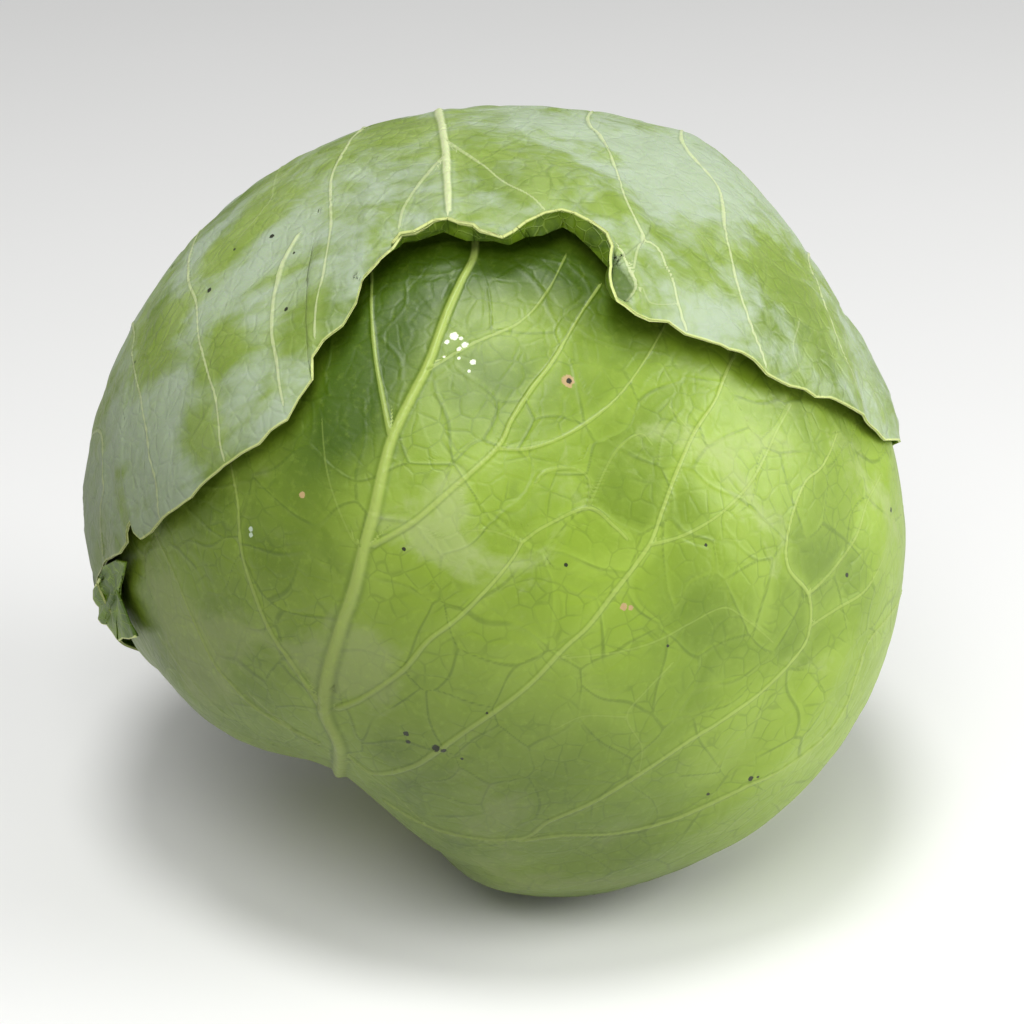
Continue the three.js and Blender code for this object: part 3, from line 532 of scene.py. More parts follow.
def leaf_piece(name, leaf, veins, material, patch_rows, steps, pucker, seed):
    """A leaf as one closed mesh with ribs, net veins and puckers raised on its outer face."""
    wax_rows, painted_shade_rows = patch_rows
    spoke_step, ring_step = steps
    azimuth = spoke_azimuths(leaf, spoke_step)
    reach = leaf.edge_at("reach", azimuth)
    length = reach.max() * HEAD_RADIUS
    bands = int((length - EDGE_BAND) / ring_step)
    edge_rings = int(EDGE_BAND / EDGE_STEP)
    inward = np.linspace(1, 0, bands, endpoint=False)[:, None]
    whole = (reach * HEAD_RADIUS)[None, :]
    from_edge = np.vstack([
        EDGE_BAND + (whole - EDGE_BAND) * (inward - 0.5 / bands),
        np.linspace(EDGE_BAND, 0, edge_rings + 1)[:, None] * np.ones_like(whole),
    ])
    angle = reach[None, :] - from_edge / HEAD_RADIUS
    u = leaf.direction(np.broadcast_to(azimuth, angle.shape), angle)
    flat = u.reshape(-1, 3)
    at = flat * HEAD_RADIUS

    near_edge = np.exp(-(from_edge / 14) ** 2)
    ruffle = waves(at, 21, seed + 40).reshape(angle.shape) * near_edge * EDGE_RUFFLE
    lip = leaf.edge_at("lip", azimuth)[None, :] * np.clip(1 - from_edge / LIP_RUN, 0, 1) ** 1.2
    height, far, side, pale = vein_fields(leaf, veins, flat)
    net, tone = net_fields(flat, seed)
    bulge = pucker * (ease(net / 5) - 0.5) + 0.25 * pucker * tone * ease(net / 4)
    bulge += 0.35 * pucker * waves(at, 16, seed + 60) + 0.5 * pucker * waves(at, 34, seed + 70)
    bulge *= 1 - 0.7 * np.exp(-(far * 0.8) ** 2)
    net_rise = NET_RISE * np.exp(-(net / 0.45) ** 2)

    pocket = pocket_on(leaf, HOOD_POCKET if leaf.fold else [], flat)
    middle = leaf.inner(flat) + blade_at(flat) / 2 + leaf.rise(flat) + bulge - POCKET_DEPTH * pocket
    radius = middle.reshape(angle.shape) + lip + ruffle
    grid = HEAD_CENTRE + u * radius[..., None]
    normal = normals_of(grid)
    rim = ease(from_edge / RIM_TAPER)
    full = blade_at(flat).reshape(angle.shape)
    half = (RIM_THICKNESS + (full - RIM_THICKNESS) * rim) / 2
    raised = (height + net_rise).reshape(angle.shape) * (0.35 + 0.65 * ease(from_edge / 3))
    outside = grid + normal * (half + raised)[..., None]
    outside[..., 2] = np.maximum(outside[..., 2], 0)
    rings = [*range(0, bands, UNDER_STRIDE), *range(bands, len(angle))]
    under = (grid - normal * half[..., None])[rings]
    under[..., 2] = np.maximum(under[..., 2], 0.3)

    spokes = len(azimuth)
    outer_faces = ring_faces(len(angle), spokes, True)
    inner_faces = ring_faces(len(rings), spokes, False)
    start = outside.shape[0] * spokes + 1
    last_outer = (len(angle) - 1) * spokes + np.arange(spokes)
    last_inner = start + (len(rings) - 1) * spokes + np.arange(spokes)
    bead = grid[-1] + leaf_outward(leaf, azimuth, u[-1]) * RIM_THICKNESS * 0.35
    bead_start = start + under.shape[0] * spokes + 1
    beads = bead_start + np.arange(spokes)
    edge_a = np.stack([last_outer, beads, np.roll(beads, -1), np.roll(last_outer, -1)], -1)
    edge_b = np.stack([beads, last_inner, np.roll(last_inner, -1), np.roll(beads, -1)], -1)
    points = np.vstack([
        outside.reshape(-1, 3), outside[0].mean(0), under.reshape(-1, 3), under[0].mean(0), bead,
    ])

    def spread(values):
        values = values.reshape(angle.shape)
        inner_values = values[rings]
        return np.concatenate([values.ravel(), [values[0].mean()], inner_values.ravel(),
                               [inner_values[0].mean()], values[-1]])

    is_under = np.zeros(len(points))
    is_under[start:bead_start] = 1
    fields = {
        "vein_far": spread(far), "vein_side": spread(side), "vein_pale": spread(pale),
        "net": spread(net), "cell": spread(tone), "rim": spread(from_edge), "under": is_under,
        "wax": spread(patches_on(leaf, wax_rows, flat)),
        # deep holds painted shade: patches of deep green where shade falls
        "deep": spread(patches_on(leaf, painted_shade_rows, flat)), "pocket": spread(pocket),
        # Painted shade: share of darkening toward the lower left and the bottom
        "painted_low_shade": spread(ease((0.05 - 0.6 * flat @ RIGHT - 0.8 * flat @ UP) / 0.7)),
        "base": spread(bell(flat, STEM_AXIS, BASE_REACH)),
    }
    faces = [outer_faces[0], outer_faces[1], inner_faces[0] + start, inner_faces[1] + start,
             edge_a, edge_b]
    piece = mesh_object(name, points, faces, material, fields)
    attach(piece, "root")
    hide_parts(name.replace("_blade", ""))
    return piece


def leaf_outward(leaf, azimuth, u):
    """Directions along the surface out past the margin."""
    across = np.cos(azimuth)[:, None] * leaf.side + np.sin(azimuth)[:, None] * leaf.ahead
    return unit(across - np.einsum("ij,ij->i", across, u)[:, None] * u)


# Finishes

COLOURS = {
    # The deep greens are the leaves' darker tones and also the colours of painted shade
    "front deep": (66, 94, 0), "front green": (136, 164, 42), "front light": (160, 186, 74),
    "front wax": (168, 182, 122), "front vein": (172, 192, 96), "front base": (158, 154, 104),
    "hood deep": (84, 110, 30), "hood green": (126, 150, 58), "hood light": (160, 182, 104),
    "hood wax": (166, 181, 158), "hood vein": (206, 216, 164), "hood base": (170, 176, 140),
    "under green": (98, 126, 6), "under deep": (62, 88, 0), "rim": (206, 216, 136), "net": (70, 96, 14),
    # On this line: the tint of painted shade toward the lower left, and the white of painted glints
    "painted_low_shade": (190, 190, 180), "speck": (34, 40, 16), "scar": (176, 150, 104), "painted_glint": (226, 234, 206),
    "stem pale": (214, 210, 160), "stem green": (164, 176, 104), "stem dry": (150, 118, 72),
    "head pale": (196, 208, 140), "head green": (160, 182, 96), "head vein": (222, 226, 176),
    "floor": (236, 236, 235),
}


def linear(name):
    """A named colour as linear red, green, blue and 1."""
    shares = [value / 255 for value in COLOURS[name]]
    straight = [s / 12.92 if s <= 0.04045 else ((s + 0.055) / 1.055) ** 2.4 for s in shares]
    return (*straight, 1.0)


class Shader:
    """Builds one material's nodes. An argument is a number, a colour or another node's socket."""

    def __init__(self, name):
        self.material = bpy.data.materials.new(name)
        self.material.use_nodes = True
        self.nodes = self.material.node_tree.nodes
        self.links = self.material.node_tree.links
        self.surface = self.nodes["Principled BSDF"]
        self.place = self.nodes.new("ShaderNodeTexCoord").outputs["Object"]

    def put(self, value, socket):
        if isinstance(value, bpy.types.NodeSocket):
            self.links.new(value, socket)
        else:
            socket.default_value = value

    def math(self, operation, a, b=0.0):
        node = self.nodes.new("ShaderNodeMath")
        node.operation = operation
        self.put(a, node.inputs[0])
        self.put(b, node.inputs[1])
        return node.outputs[0]

    def times(self, a, b):
        return self.math("MULTIPLY", a, b)

    def plus(self, a, b):
        return self.math("ADD", a, b)

    def field(self, name):
        node = self.nodes.new("ShaderNodeAttribute")
        node.attribute_name = name
        return node.outputs["Fac"]

    def ramp(self, value, low, high):
        """0 at low, 1 at high, smoothly, and the other way round where low is the greater."""
        node = self.nodes.new("ShaderNodeMapRange")
        node.interpolation_type = "SMOOTHSTEP"
        self.put(value, node.inputs["Value"])
        node.inputs["From Min"].default_value = min(low, high)
        node.inputs["From Max"].default_value = max(low, high)
        node.inputs["To Min"].default_value = float(low > high)
        node.inputs["To Max"].default_value = float(low < high)
        return node.outputs["Result"]

    def stretched(self, along, factor):
        """The place with one direction drawn out, so that what it feeds is long that way."""
        node = self.nodes.new("ShaderNodeMapping")
        node.vector_type = "TEXTURE"
        node.inputs["Rotation"].default_value = along
        node.inputs["Scale"].default_value = (1, 1, factor)
        self.put(self.place, node.inputs["Vector"])
        return node.outputs["Vector"]

    def noise(self, size, detail=3, rough=0.5, warp=0.0, place=None):
        """Noise whose features are about size mm wide."""
        node = self.nodes.new("ShaderNodeTexNoise")
        self.put(place or self.place, node.inputs["Vector"])
        node.inputs["Scale"].default_value = 1 / (size * MM)
        node.inputs["Detail"].default_value = detail
        node.inputs["Roughness"].default_value = rough
        node.inputs["Distortion"].default_value = warp
        return node.outputs["Fac"]

    def net(self, size, warp_size, warp):
        """Distance to the lines of a net with cells about size mm wide, in shares of a cell."""
        spread = self.nodes.new("ShaderNodeTexNoise")
        self.put(self.place, spread.inputs["Vector"])
        spread.inputs["Scale"].default_value = 1 / (warp_size * MM)
        spread.inputs["Detail"].default_value = 2
        shift = self.nodes.new("ShaderNodeVectorMath")
        shift.operation = "MULTIPLY_ADD"
        self.put(spread.outputs["Color"], shift.inputs[0])
        shift.inputs[1].default_value = (warp * MM,) * 3
        self.put(self.place, shift.inputs[2])
        node = self.nodes.new("ShaderNodeTexVoronoi")
        node.feature = "DISTANCE_TO_EDGE"
        node.inputs["Scale"].default_value = 1 / (size * MM)
        self.put(shift.outputs["Vector"], node.inputs["Vector"])
        return node.outputs["Distance"]

    def away(self, point):
        """Distance in metres from a point given in mm."""
        node = self.nodes.new("ShaderNodeVectorMath")
        node.operation = "DISTANCE"
        self.put(self.place, node.inputs[0])
        node.inputs[1].default_value = tuple(point * MM)
        return node.outputs["Value"]

    def mix(self, share, a, b):
        node = self.nodes.new("ShaderNodeMix")
        node.data_type = "RGBA"
        node.clamp_factor = True
        self.put(share, node.inputs[0])
        self.put(linear(a) if isinstance(a, str) else a, node.inputs[6])
        self.put(linear(b) if isinstance(b, str) else b, node.inputs[7])
        return node.outputs[2]

    def darkened(self, share, colour, tint):
        """A colour multiplied by a named tint, by the given share."""
        node = self.mix(share, colour, tint).node
        node.blend_type = "MULTIPLY"
        return node.outputs[2]

    def bump(self, height, depth):
        """Relief of the given depth in mm where height goes from 0 to 1."""
        node = self.nodes.new("ShaderNodeBump")
        node.inputs["Distance"].default_value = depth * MM
        self.put(height, node.inputs["Height"])
        self.links.new(node.outputs["Normal"], self.surface.inputs["Normal"])

    def finish(self, colour, roughness):
        self.put(colour, self.surface.inputs["Base Color"])
        self.put(roughness, self.surface.inputs["Roughness"])
        return self.material


def leaf_material(name, look):
    """Green blade with pale veins, a net of fine ones, wax rubbed off in patches and specks, and painted
    shade and glints.
    """
    s = Shader(name)
    kind = look["colours"]
    far = s.field("vein_far")
    line = s.math("MAXIMUM", s.math("ABSOLUTE", s.field("vein_side")), s.plus(far, -1.2))
    pale = s.field("vein_pale")
    net = s.field("net")
    rim = s.field("rim")
    under = s.field("under")
    fine = s.net(4.2, 9, 3)

    broad = s.ramp(s.plus(s.noise(55, 2), s.times(s.field("cell"), 0.05)), 0.14, 0.62)
    green = s.mix(broad, kind + " deep", kind + " green")
    lit = s.ramp(s.noise(24, 4, 0.6, 0.8), 0.44, 0.72)
    green = s.mix(s.times(lit, look["light"]), green, kind + " light")
    near_vein = s.times(s.ramp(far, 7, 0.8), pale)
    green = s.mix(s.times(near_vein, 0.4), green, kind + " light")
    halo = s.times(s.ramp(net, 2.2, 0.4), look["halo"])
    green = s.mix(halo, green, kind + " light")
    net_line = s.times(s.ramp(net, 0.5, 0.1), look["net"])
    broken = s.ramp(s.noise(14, 2), 0.38, 0.56)
    green = s.mix(s.times(net_line, broken), green, "net")
    fine_line = s.times(s.ramp(fine, 0.07, 0.01), look["fine"])
    green = s.mix(s.times(fine_line, s.ramp(s.noise(9, 2), 0.4, 0.6)), green, "net")

    patches = s.plus(s.noise(look["patch"], 8, 0.62, 0.9), s.times(s.field("wax"), 0.5))
    streaks = s.noise(5, 4, 0.6, 0.4, s.stretched((0.5, 0.9, 0.2), 5))
    wax = s.ramp(s.plus(patches, s.times(s.plus(streaks, -0.5), 0.35)), *look["wax edge"])
    cloudy = s.plus(0.7, s.times(s.noise(7, 4, 0.65), 0.55))
    wax_share = s.times(s.times(wax, cloudy), look["wax"])
    colour = s.mix(wax_share, green, kind + " wax")
    colour = s.mix(s.times(s.field("base"), 0.75), colour, kind + " base")
    # Painted shade: deep green put in the colour at the patches of the deep field, such as under the
    # hood
    colour = s.mix(s.field("deep"), colour, kind + " deep")

    # Painted shade: darker green along both feet of each rib
    rib_foot_shade = s.times(s.times(s.ramp(line, 1.7, 1.05), pale), 0.3)
    colour = s.mix(rib_foot_shade, colour, kind + " deep")
    on_vein = s.times(s.ramp(line, 1.05, 0.45), pale)
    colour = s.mix(s.times(on_vein, 0.85), colour, kind + " vein")
    lower = s.mix(s.ramp(s.noise(12, 3), 0.3, 0.6), "under deep", "under green")
    # The fold's pocket takes the darkest underside green: partly the underside's own colour, partly
    # painted shade inside the fold
    colour = s.mix(s.times(s.field("pocket"), 0.85), colour, "under deep")
    colour = s.mix(under, colour, lower)
    colour = s.mix(s.times(s.ramp(rim, 0.5, 0.12), 0.85), colour, "rim")
    # Painted shade: the colour darkened toward the lower left and the bottom
    colour = s.darkened(s.field("painted_low_shade"), colour, "painted_low_shade")
    mottle = s.noise(1.6, 3, 0.6)
    colour = s.mix(s.times(s.ramp(mottle, 0.5, 0.75), 0.12), colour, kind + " light")

    specks = [(row, shade) for shade, rows in look["specks"].items() for row in rows]
    for (x, y, size), shade in specks:
        u, radius = sighted((x, y), look["leaf"].top)
        ragged = s.plus(s.times(s.noise(size * 0.7, 3, 0.7), 1.3), 0.35)
        away = s.math("DIVIDE", s.away(HEAD_CENTRE + u * radius), ragged)
        colour = s.mix(s.ramp(away, size * MM, size * 0.75 * MM), colour, shade)

    lumps = s.plus(s.times(s.noise(1.1, 4, 0.6), 0.35), s.times(s.noise(5, 3), 0.5))
    wrinkles = s.times(s.noise(2.2, 4, 0.6, 0.3, s.stretched((0.4, 1.2, 0.1), 4)), 0.45)
    sunk = s.plus(s.times(s.ramp(fine, 0.16, 0.0), -0.4), s.times(s.ramp(net, 0.7, 0.0), -0.25))
    s.bump(s.plus(s.plus(lumps, wrinkles), sunk), look["relief"])
    gloss = s.plus(look["gloss"], s.times(wax_share, 0.24))
    gloss = s.plus(gloss, s.times(s.plus(s.noise(3, 3), -0.5), 0.16))
    s.surface.inputs["Subsurface Weight"].default_value = 0.12
    s.surface.inputs["Subsurface Radius"].default_value = (0.6, 1.0, 0.25)
    s.surface.inputs["Subsurface Scale"].default_value = 2.2 * MM
    return s.finish(colour, gloss)


FRONT_SPECKS = {
    "scar": [(568, 381, 1.5), (624, 607, 0.9), (631, 608, 0.7), (302, 495, 0.8)],
    "hood wax": [(251, 529, 0.6), (251, 535, 0.6)],
    # Painted glints: small white highlights on the glossy front leaf
    "painted_glint": [(454, 336, 1.0), (447, 342, 0.6), (465, 345, 0.8), (459, 349, 0.6),
        (473, 362, 0.7), (469, 371, 0.4), (444, 357, 0.35), (459, 358, 0.4), (461, 338, 0.5)],
    "speck": [(406, 734, 0.8), (408, 742, 0.6), (436, 748, 1.0), (443, 750, 0.8), (462, 759, 0.4),
        (487, 713, 0.35), (751, 779, 0.8), (758, 777, 0.4), (891, 510, 0.7), (569, 381, 0.7),
        (404, 549, 0.5), (566, 565, 0.5), (847, 575, 0.6), (706, 545, 0.45), (708, 794, 0.5),
        (668, 646, 0.4)],
}
HOOD_SPECKS = {
    "speck": [(272, 236, 0.7), (235, 250, 0.5), (209, 290, 0.7), (286, 309, 0.6), (241, 306, 0.4),
        (294, 253, 0.4), (136, 362, 0.5)],
}

# Places of wax, or with a minus of rubbed-off green, as pixels: x, y, reach in mm, strength
FRONT_WAX = [
    (420, 545, 12, 0.35), (360, 660, 10, 0.45), (250, 640, 16, 0.4), (190, 660, 14, 0.5),
    (170, 580, 12, 0.4), (500, 820, 16, 0.3), (640, 850, 14, 0.25), (520, 520, 20, 0.15),
    (850, 470, 16, 0.25), (640, 440, 22, 0.15), (460, 360, 7, 0.5), (200, 560, 12, -0.3),
    (270, 580, 9, -0.5), (400, 600, 8, -0.5), (270, 680, 7, -0.5), (600, 700, 24, -0.4),
    (720, 600, 16, -0.3), (640, 402, 5, -0.5), (480, 300, 30, -0.35), (860, 640, 12, -0.2),
]
HOOD_WAX = [
    (120, 440, 20, 0.35), (180, 400, 10, 0.3), (230, 300, 14, 0.3), (560, 120, 14, 0.35),
    (690, 170, 20, 0.3), (250, 400, 10, 0.35), (640, 150, 12, 0.3), (160, 330, 9, -0.5),
    (225, 350, 6, -0.6), (190, 430, 7, -0.6), (100, 400, 6, -0.3), (120, 470, 5, -0.3),
    (300, 330, 8, -0.3), (240, 240, 9, -0.5), (400, 130, 12, -0.4), (480, 150, 16, -0.35),
    (560, 190, 10, -0.2), (330, 300, 8, -0.2), (780, 260, 14, -0.25), (700, 260, 10, -0.25),
    (820, 340, 16, -0.2), (620, 160, 6, -0.4),
]


# The pocket that the hood's margin folds into, as pixels with its half width in mm
HOOD_POCKET = [
    (613, 254, 0.7), (615, 262, 1.3), (617, 270, 1.8), (620, 278, 2.5), (622, 285, 3.0),
    (622, 292, 2.3), (624, 298, 1.3),
]

# Painted shade on the front leaf: deep clear green put in its colour where the hood's shadow falls, and
# at a few lower places, written the same way
FRONT_PAINTED_SHADE = [
    (350, 380, 14, 0.8), (345, 430, 10, 0.6), (390, 320, 13, 0.8), (400, 275, 10, 0.7),
    (450, 262, 10, 0.8), (510, 262, 10, 0.8), (565, 258, 10, 0.7), (600, 290, 10, 0.6),
    (620, 335, 9, 0.5), (300, 470, 10, 0.45), (680, 350, 8, 0.4), (560, 760, 26, 0.3),
    (300, 560, 12, 0.3), (640, 840, 18, 0.3),
]


def pocket_on(leaf, rows, u):
    """1 inside a pocket of the leaf over directions u, and 0 outside it."""
    inside = np.zeros(len(u))
    for x, y, size in rows:
        centre, radius = sighted((x, y), leaf.top)
        away = np.linalg.norm(u - centre, axis=1) * radius
        inside = np.maximum(inside, ease((size - away) / 0.8 + 0.5))
    return inside


def patches_on(leaf, rows, u):
    """A field over directions u from named patches of the photograph."""
    total = np.zeros(len(u))
    for x, y, size, strength in rows:
        centre, radius = sighted((x, y), leaf.top)
        total += strength * np.exp(-(np.linalg.norm(u - centre, axis=1) * radius / size) ** 2)
    return total


FRONT_LOOK = {
    "colours": "front", "leaf": front_leaf, "specks": FRONT_SPECKS, "patch": 26,
    "light": 0.4, "halo": 0.1, "net": 0.4, "fine": 0.25, "wax": 0.55, "wax edge": (0.54, 0.74),
    "gloss": 0.43, "relief": 0.1,
}
HOOD_LOOK = {
    "colours": "hood", "leaf": hood_leaf, "specks": HOOD_SPECKS, "patch": 30,
    "light": 0.5, "halo": 0.12, "net": 0.22, "fine": 0.2, "wax": 0.85, "wax edge": (0.36, 0.64),
    "gloss": 0.45, "relief": 0.3,
}
BACK_LOOK = {**HOOD_LOOK, "leaf": back_leaf, "specks": {}}
RIGHT_LOOK = {**FRONT_LOOK, "leaf": right_leaf, "specks": {}}

FINE = (SPOKE_STEP, RING_STEP)
PLAIN = (1.2, 1.3)
front_finish = leaf_material("front leaf", FRONT_LOOK)
hood_finish = leaf_material("hood leaf", HOOD_LOOK)
back_finish = leaf_material("back leaf", BACK_LOOK)
right_finish = leaf_material("right leaf", RIGHT_LOOK)
for leaf_args in [
    ("leaf_front_blade", front_leaf, FRONT_VEINS, front_finish, (FRONT_WAX, FRONT_PAINTED_SHADE), FINE, 0.14, 11),
    ("leaf_hood_blade", hood_leaf, HOOD_VEINS, hood_finish, (HOOD_WAX, []), FINE, 0.35, 23),
    ("leaf_back_blade", back_leaf, BACK_VEINS, back_finish, ([], []), FINE, 0.5, 37),
    ("leaf_right_blade", right_leaf, RIGHT_VEINS, right_finish, ([], []), PLAIN, 0.3, 53),
]:
    leaf_piece(*leaf_args)


# Turned-out undersides of the hood's margin: pixels, and heights over the hood's leaf in mm, of the
# free edge and of the line where the underside goes out of sight
# ARCH_ROWS are the rows of the hood's margin along the top of the arch
ARCH_ROWS = slice(32, 45)
ARCH_EDGE = [(392, 243, 6.0)]
ARCH_EDGE += [(x, y + 2, lift + lip - 0.6) for x, y, lift, lip in HOOD_EDGE[ARCH_ROWS]]
ARCH_EDGE += [(594, 222, 8.0), (607, 233, 7.6), (612, 245, 7.2)]
ARCH_FOOT = [
    (x, y, 2.6) for x, y in [
        (391, 246), (406, 241), (417, 240), (444, 231), (456, 236), (467, 240), (494, 240),
        (509, 244), (526, 236), (542, 235), (563, 226), (576, 234), (590, 247),
    ]
]
ARCH_FOOT.append((609, 268, 3.0))
FLAP_EDGE = [
    (96, 580, 1.6), (94, 590, 1.6), (94, 599, 1.6), (97, 604, 1.6), (100, 607, 1.4),
    (100, 614, 1.4), (99, 619, 1.4), (102, 623, 1.4), (107, 624, 1.2), (113, 633, 1.2),
    (117, 640, 1.2), (119, 641, 1.2), (123, 638, 1.0), (130, 639, 0.8), (136, 637, 0.6),
]
FLAP_FOOT = [
    (104, 566, 1.2), (116, 560, 1.0), (126, 562, 0.6), (123, 576, 0.4), (117, 588, 0.3),
    (120, 598, 0.2), (125, 610, 0.2), (130, 623, 0.2), (138, 636, 0.2),
]
SHEET_COLUMNS = 260
SHEET_ROWS = 26
SHEET_HALF = 0.3


def sheet_line(leaf, rows):
    """Points evenly spread along a line of rows: x, y, height over the leaf."""
    found = []
    for x, y, height in rows:
        u, radius = sighted((x, y), lambda u: leaf.outer(u) + height)
        found.append(HEAD_CENTRE + u * radius)
    found = np.array(found)
    along = np.concatenate([[0], np.cumsum(np.linalg.norm(np.diff(found, axis=0), axis=1))])
    at = np.linspace(0, along[-1], SHEET_COLUMNS)
    return np.stack([np.interp(at, along, found[:, k]) for k in range(3)], 1)


def sheet_piece(name, leaf, edge_rows, foot_rows, material, seed):
    """A thin wavy sheet from a free edge to a foot, closed round its border."""
    edge, foot = sheet_line(leaf, edge_rows), sheet_line(leaf, foot_rows)
    share = np.linspace(0, 1, SHEET_ROWS)[:, None, None]
    grid = edge * (1 - share) + foot * share
    normal = unit(np.cross(np.gradient(grid, axis=0), np.gradient(grid, axis=1)) + 1e-9)
    normal *= np.sign(np.einsum("ijk,ijk->ij", normal, grid - HEAD_CENTRE))[..., None]
    belly = waves(grid.reshape(-1, 3), 9, seed).reshape(grid.shape[:2]) * 0.35
    grid = grid + normal * (belly * np.sin(np.pi * share[..., 0]))[..., None]
    count = SHEET_ROWS * SHEET_COLUMNS
    index = np.arange(count).reshape(SHEET_ROWS, SHEET_COLUMNS)
    quads = np.stack([index[:-1, :-1], index[1:, :-1], index[1:, 1:], index[:-1, 1:]], -1)
    quads = quads.reshape(-1, 4)
    loop = np.concatenate([index[0, :-1], index[:-1, -1], index[-1, :0:-1], index[:0:-1, 0]])
    after = np.roll(loop, -1)
    walls = np.stack([loop, after, after + count, loop + count], -1)
    points = np.vstack([(grid + normal * SHEET_HALF).reshape(-1, 3),
                        (grid - normal * SHEET_HALF).reshape(-1, 3)])
    width = np.linalg.norm(edge - foot, axis=1)
    rim = np.tile((share[..., 0] * width).ravel(), 2)
    piece = mesh_object(name, points, [quads, quads[:, ::-1] + count, walls], material,
                        {"rim": rim})
    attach(piece, "root")


def underside_material():
    """The clear green underside of a leaf, with a pale edge and low wrinkles."""
    s = Shader("underside")
    colour = s.mix(s.ramp(s.noise(7, 4, 0.6, 0.8), 0.36, 0.64), "under deep", "under green")
    fine = s.ramp(s.net(3.2, 7, 2), 0.06, 0.0)
    colour = s.mix(s.times(fine, 0.3), colour, "front light")
    colour = s.mix(s.times(s.ramp(s.field("rim"), 0.5, 0.15), 0.85), colour, "rim")
    s.bump(s.plus(s.noise(3, 4, 0.6), s.times(fine, 0.4)), 0.3)
    return s.finish(colour, s.plus(0.4, s.times(s.noise(3, 3), 0.16)))


underside = underside_material()
sheet_piece("leaf_hood_lip", hood_leaf, ARCH_EDGE, ARCH_FOOT, underside, 61)
sheet_piece("leaf_hood_flap", hood_leaf, FLAP_EDGE, FLAP_FOOT, underside, 62)


# Inner head and stem

HEAD_COLUMNS = 300
HEAD_ROWS = 180
STEM_COLUMNS = 120


def socket_radius(along):
    """Radius of the core at a distance along the stem axis, from its tip to its cut end."""
    return np.interp(along, [12, STEM_CUT - 24, STEM_CUT - 8], [7, STEM_RADIUS - 2, STEM_RADIUS])


def head_material():
    """Pale overlapping leaf surface, seen only in the hollow round the stem."""
    s = Shader("inner head")
    shade = s.ramp(s.noise(22, 4, 0.6, 0.8), 0.38, 0.66)
    colour = s.mix(shade, "head green", "head pale")
    ribs = s.ramp(s.net(13, 20, 6), 0.05, 0.0)
    colour = s.mix(s.times(ribs, 0.7), colour, "head vein")
    fine = s.ramp(s.net(4, 9, 3), 0.08, 0.0)
    colour = s.mix(s.times(fine, 0.25), colour, "front green")
    s.bump(s.plus(s.times(ribs, 0.8), s.times(s.noise(2.5, 4, 0.6), 0.5)), 0.5)
    return s.finish(colour, s.plus(0.36, s.times(s.noise(4, 3), 0.16)))


def stem_material():
    """Cut stem: pale fibrous pith with a green rind, dried brown in places."""
    s = Shader("stem")
    fibres = s.noise(1.1, 4, 0.6, 0.2, s.stretched((0.6, 0.4, 0.0), 7))
    colour = s.mix(s.ramp(s.noise(6, 4, 0.6), 0.4, 0.65), "stem pale", "stem green")
    colour = s.mix(s.times(s.ramp(fibres, 0.5, 0.7), 0.4), colour, "stem green")
    colour = s.mix(s.times(s.ramp(s.noise(4, 5, 0.7, 1.0), 0.56, 0.7), 0.8), colour, "stem dry")
    s.bump(s.plus(s.times(fibres, 0.7), s.times(s.noise(2.0, 4), 0.6)), 0.5)
    return s.finish(colour, s.plus(0.6, s.times(s.noise(3, 3), 0.2)))


def globe(columns, rows):
    """Directions in rings from the head's far side to the stem axis, closer round the stem."""
    pole = -STEM_AXIS
    side = unit(np.cross(pole, UP))
    ahead = np.cross(pole, side)
    down = np.sin((np.arange(1, rows) / rows) * (math.pi / 2)) * math.pi
    turn = np.arange(columns) / columns * 2 * math.pi
    down, turn = np.meshgrid(down, turn, indexing="ij")
    across = np.cos(turn)[..., None] * side + np.sin(turn)[..., None] * ahead
    return np.cos(down)[..., None] * pole + np.sin(down)[..., None] * across


def capped_mesh(name, grid, material):
    """A closed mesh of rings of points with a cap at each end."""
    rings, spokes = grid.shape[:2]
    quads, fan = ring_faces(rings, spokes, False)
    last = (rings - 1) * spokes + np.arange(spokes)
    cap = np.stack([last, np.roll(last, -1), np.full(spokes, rings * spokes + 1)], -1)
    points = np.vstack([grid.reshape(-1, 3), grid[0].mean(0), grid[-1].mean(0)])
    return mesh_object(name, points, [quads, fan, cap], material)


def inner_head_piece(material):
    """The inner head, with low folds, sunk to the core's foot under the stem."""
    u = globe(HEAD_COLUMNS, HEAD_ROWS)
    flat = u.reshape(-1, 3)
    at = flat * HEAD_RADIUS
    radius = inner_head(flat) - HEAD_CLEARANCE + 0.3 * waves(at, 30, 81) + 0.15 * waves(at, 9, 83)
    away = np.arccos(np.clip(flat @ STEM_AXIS, -1, 1))
    beside = np.tan(np.minimum(away, 1.2)) * radius * np.cos(away)
    sunk = ease((STEM_RADIUS + 1.5 - beside) / 1.6) * (radius - (STEM_CUT - 20))
    grid = HEAD_CENTRE + u * (radius - sunk).reshape(u.shape[:2])[..., None]
    return capped_mesh("inner_head_globe", grid, material)


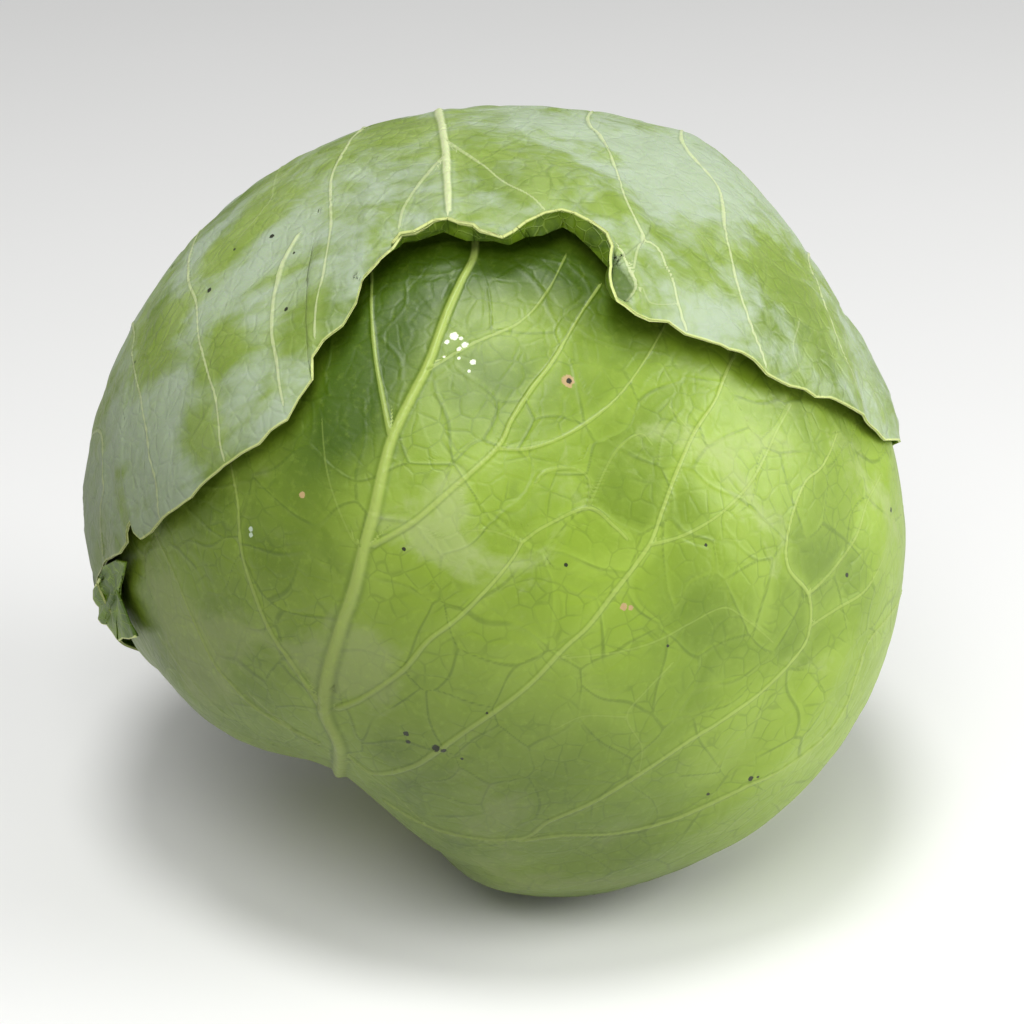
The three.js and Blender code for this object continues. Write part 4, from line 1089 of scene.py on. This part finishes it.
def stem_piece(material):
    """The stem core: an uneven tapering stalk with a slightly dished cut end."""
    profile = [(0.2, 12), (4, 12.2), (7, 13)]
    profile += [(float(socket_radius(z)), z) for z in np.linspace(16, STEM_CUT - 1.5, 46)]
    profile += [(STEM_RADIUS - 0.5, STEM_CUT - 0.5), (STEM_RADIUS - 1.3, STEM_CUT)]
    profile += [(r, STEM_CUT - 0.8 * (1 - (r / STEM_RADIUS) ** 2)) for r in np.linspace(12.4, 0.2, 22)]
    radius, along = np.array(profile).T
    side = unit(np.cross(STEM_AXIS, UP))
    ahead = np.cross(STEM_AXIS, side)
    turn = np.arange(STEM_COLUMNS) / STEM_COLUMNS * 2 * math.pi
    across = np.cos(turn)[:, None] * side + np.sin(turn)[:, None] * ahead
    core = HEAD_CENTRE + along[:, None, None] * STEM_AXIS
    grid = core + across[None] * radius[:, None, None]
    uneven = waves(grid.reshape(-1, 3), 9, 91).reshape(grid.shape[:2])
    inward = np.minimum(uneven, 0) * 0.35 + waves(grid.reshape(-1, 3), 3, 92).reshape(
        grid.shape[:2]) * 0.08 - 0.2
    grid = grid + across[None] * (inward * np.minimum(radius / 6, 1)[:, None])[..., None]
    return capped_mesh("stem_core", grid, material)


for make, finish, node, slot in [
    (inner_head_piece, head_material, "inner_head", "inner_leaf"),
    (stem_piece, stem_material, "stem", "stem"),
]:
    core_piece = make(finish())
    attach(core_piece, "root")
    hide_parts(node)


# Floor, light and camera

def floor():
    s = Shader("floor")
    faint = s.times(s.noise(90, 3), 0.03)
    colour = s.mix(faint, "floor", "hood wax")
    size = 6000
    points = np.array([[-size, -size, 0], [size, -size, 0], [size, size, 0], [-size, size, 0]])
    made = mesh_object("floor", points - [0, 0, 0.05], [np.array([[0, 1, 2, 3]])],
                       s.finish(colour, 0.7))


def area_light(name, direction, distance, size, watts):
    """A soft lamp that looks at the head from a direction of the photograph's view."""
    lamp = bpy.data.lights.new(name, "AREA")
    lamp.shape = "DISK"
    lamp.size = size
    lamp.energy = watts
    made = bpy.data.objects.new(name, lamp)
    bpy.context.scene.collection.objects.link(made)
    from_head = unit(direction[0] * RIGHT + direction[1] * UP + direction[2] * TOWARD)
    made.location = (HEAD_CENTRE + from_head * distance) * MM
    made.rotation_euler = mathutils.Vector(from_head).to_track_quat("Z", "Y").to_euler()


def studio():
    """Daylight from every side, a key lamp high up, one from the right and a soft one in front."""
    world = bpy.data.worlds.new("studio")
    bpy.context.scene.world = world
    world.use_nodes = True
    background = world.node_tree.nodes["Background"]
    background.inputs["Color"].default_value = (1, 1, 1, 1)
    background.inputs["Strength"].default_value = 0.34
    area_light("key", (-0.05, 0.8, 0.6), 1300, 0.35, 7.5)
    area_light("side", (0.92, 0.3, 0.28), 1500, 0.9, 14)
    area_light("front", (-0.1, 0.42, 0.9), 1300, 0.7, 7.8)
    bpy.context.scene.view_settings.view_transform = "Standard"


def camera():
    """The photograph's camera: its axis passes the head's middle at the centre pixel."""
    data = bpy.data.cameras.new("camera")
    data.sensor_width = SENSOR
    data.lens = SENSOR * EYE_DISTANCE / (FRAME_PIXELS * MM_PER_PIXEL)
    data.shift_x = (FRAME_PIXELS / 2 - CENTRE_PIXEL[0]) / FRAME_PIXELS
    data.shift_y = (CENTRE_PIXEL[1] - FRAME_PIXELS / 2) / FRAME_PIXELS
    data.clip_end = 100
    made = bpy.data.objects.new("camera", data)
    bpy.context.scene.collection.objects.link(made)
    made.location = (HEAD_CENTRE + TOWARD * EYE_DISTANCE) * MM
    made.rotation_euler = (math.pi / 2 - ELEVATION, 0, 0)
    bpy.context.scene.camera = made


floor()
studio()
camera()
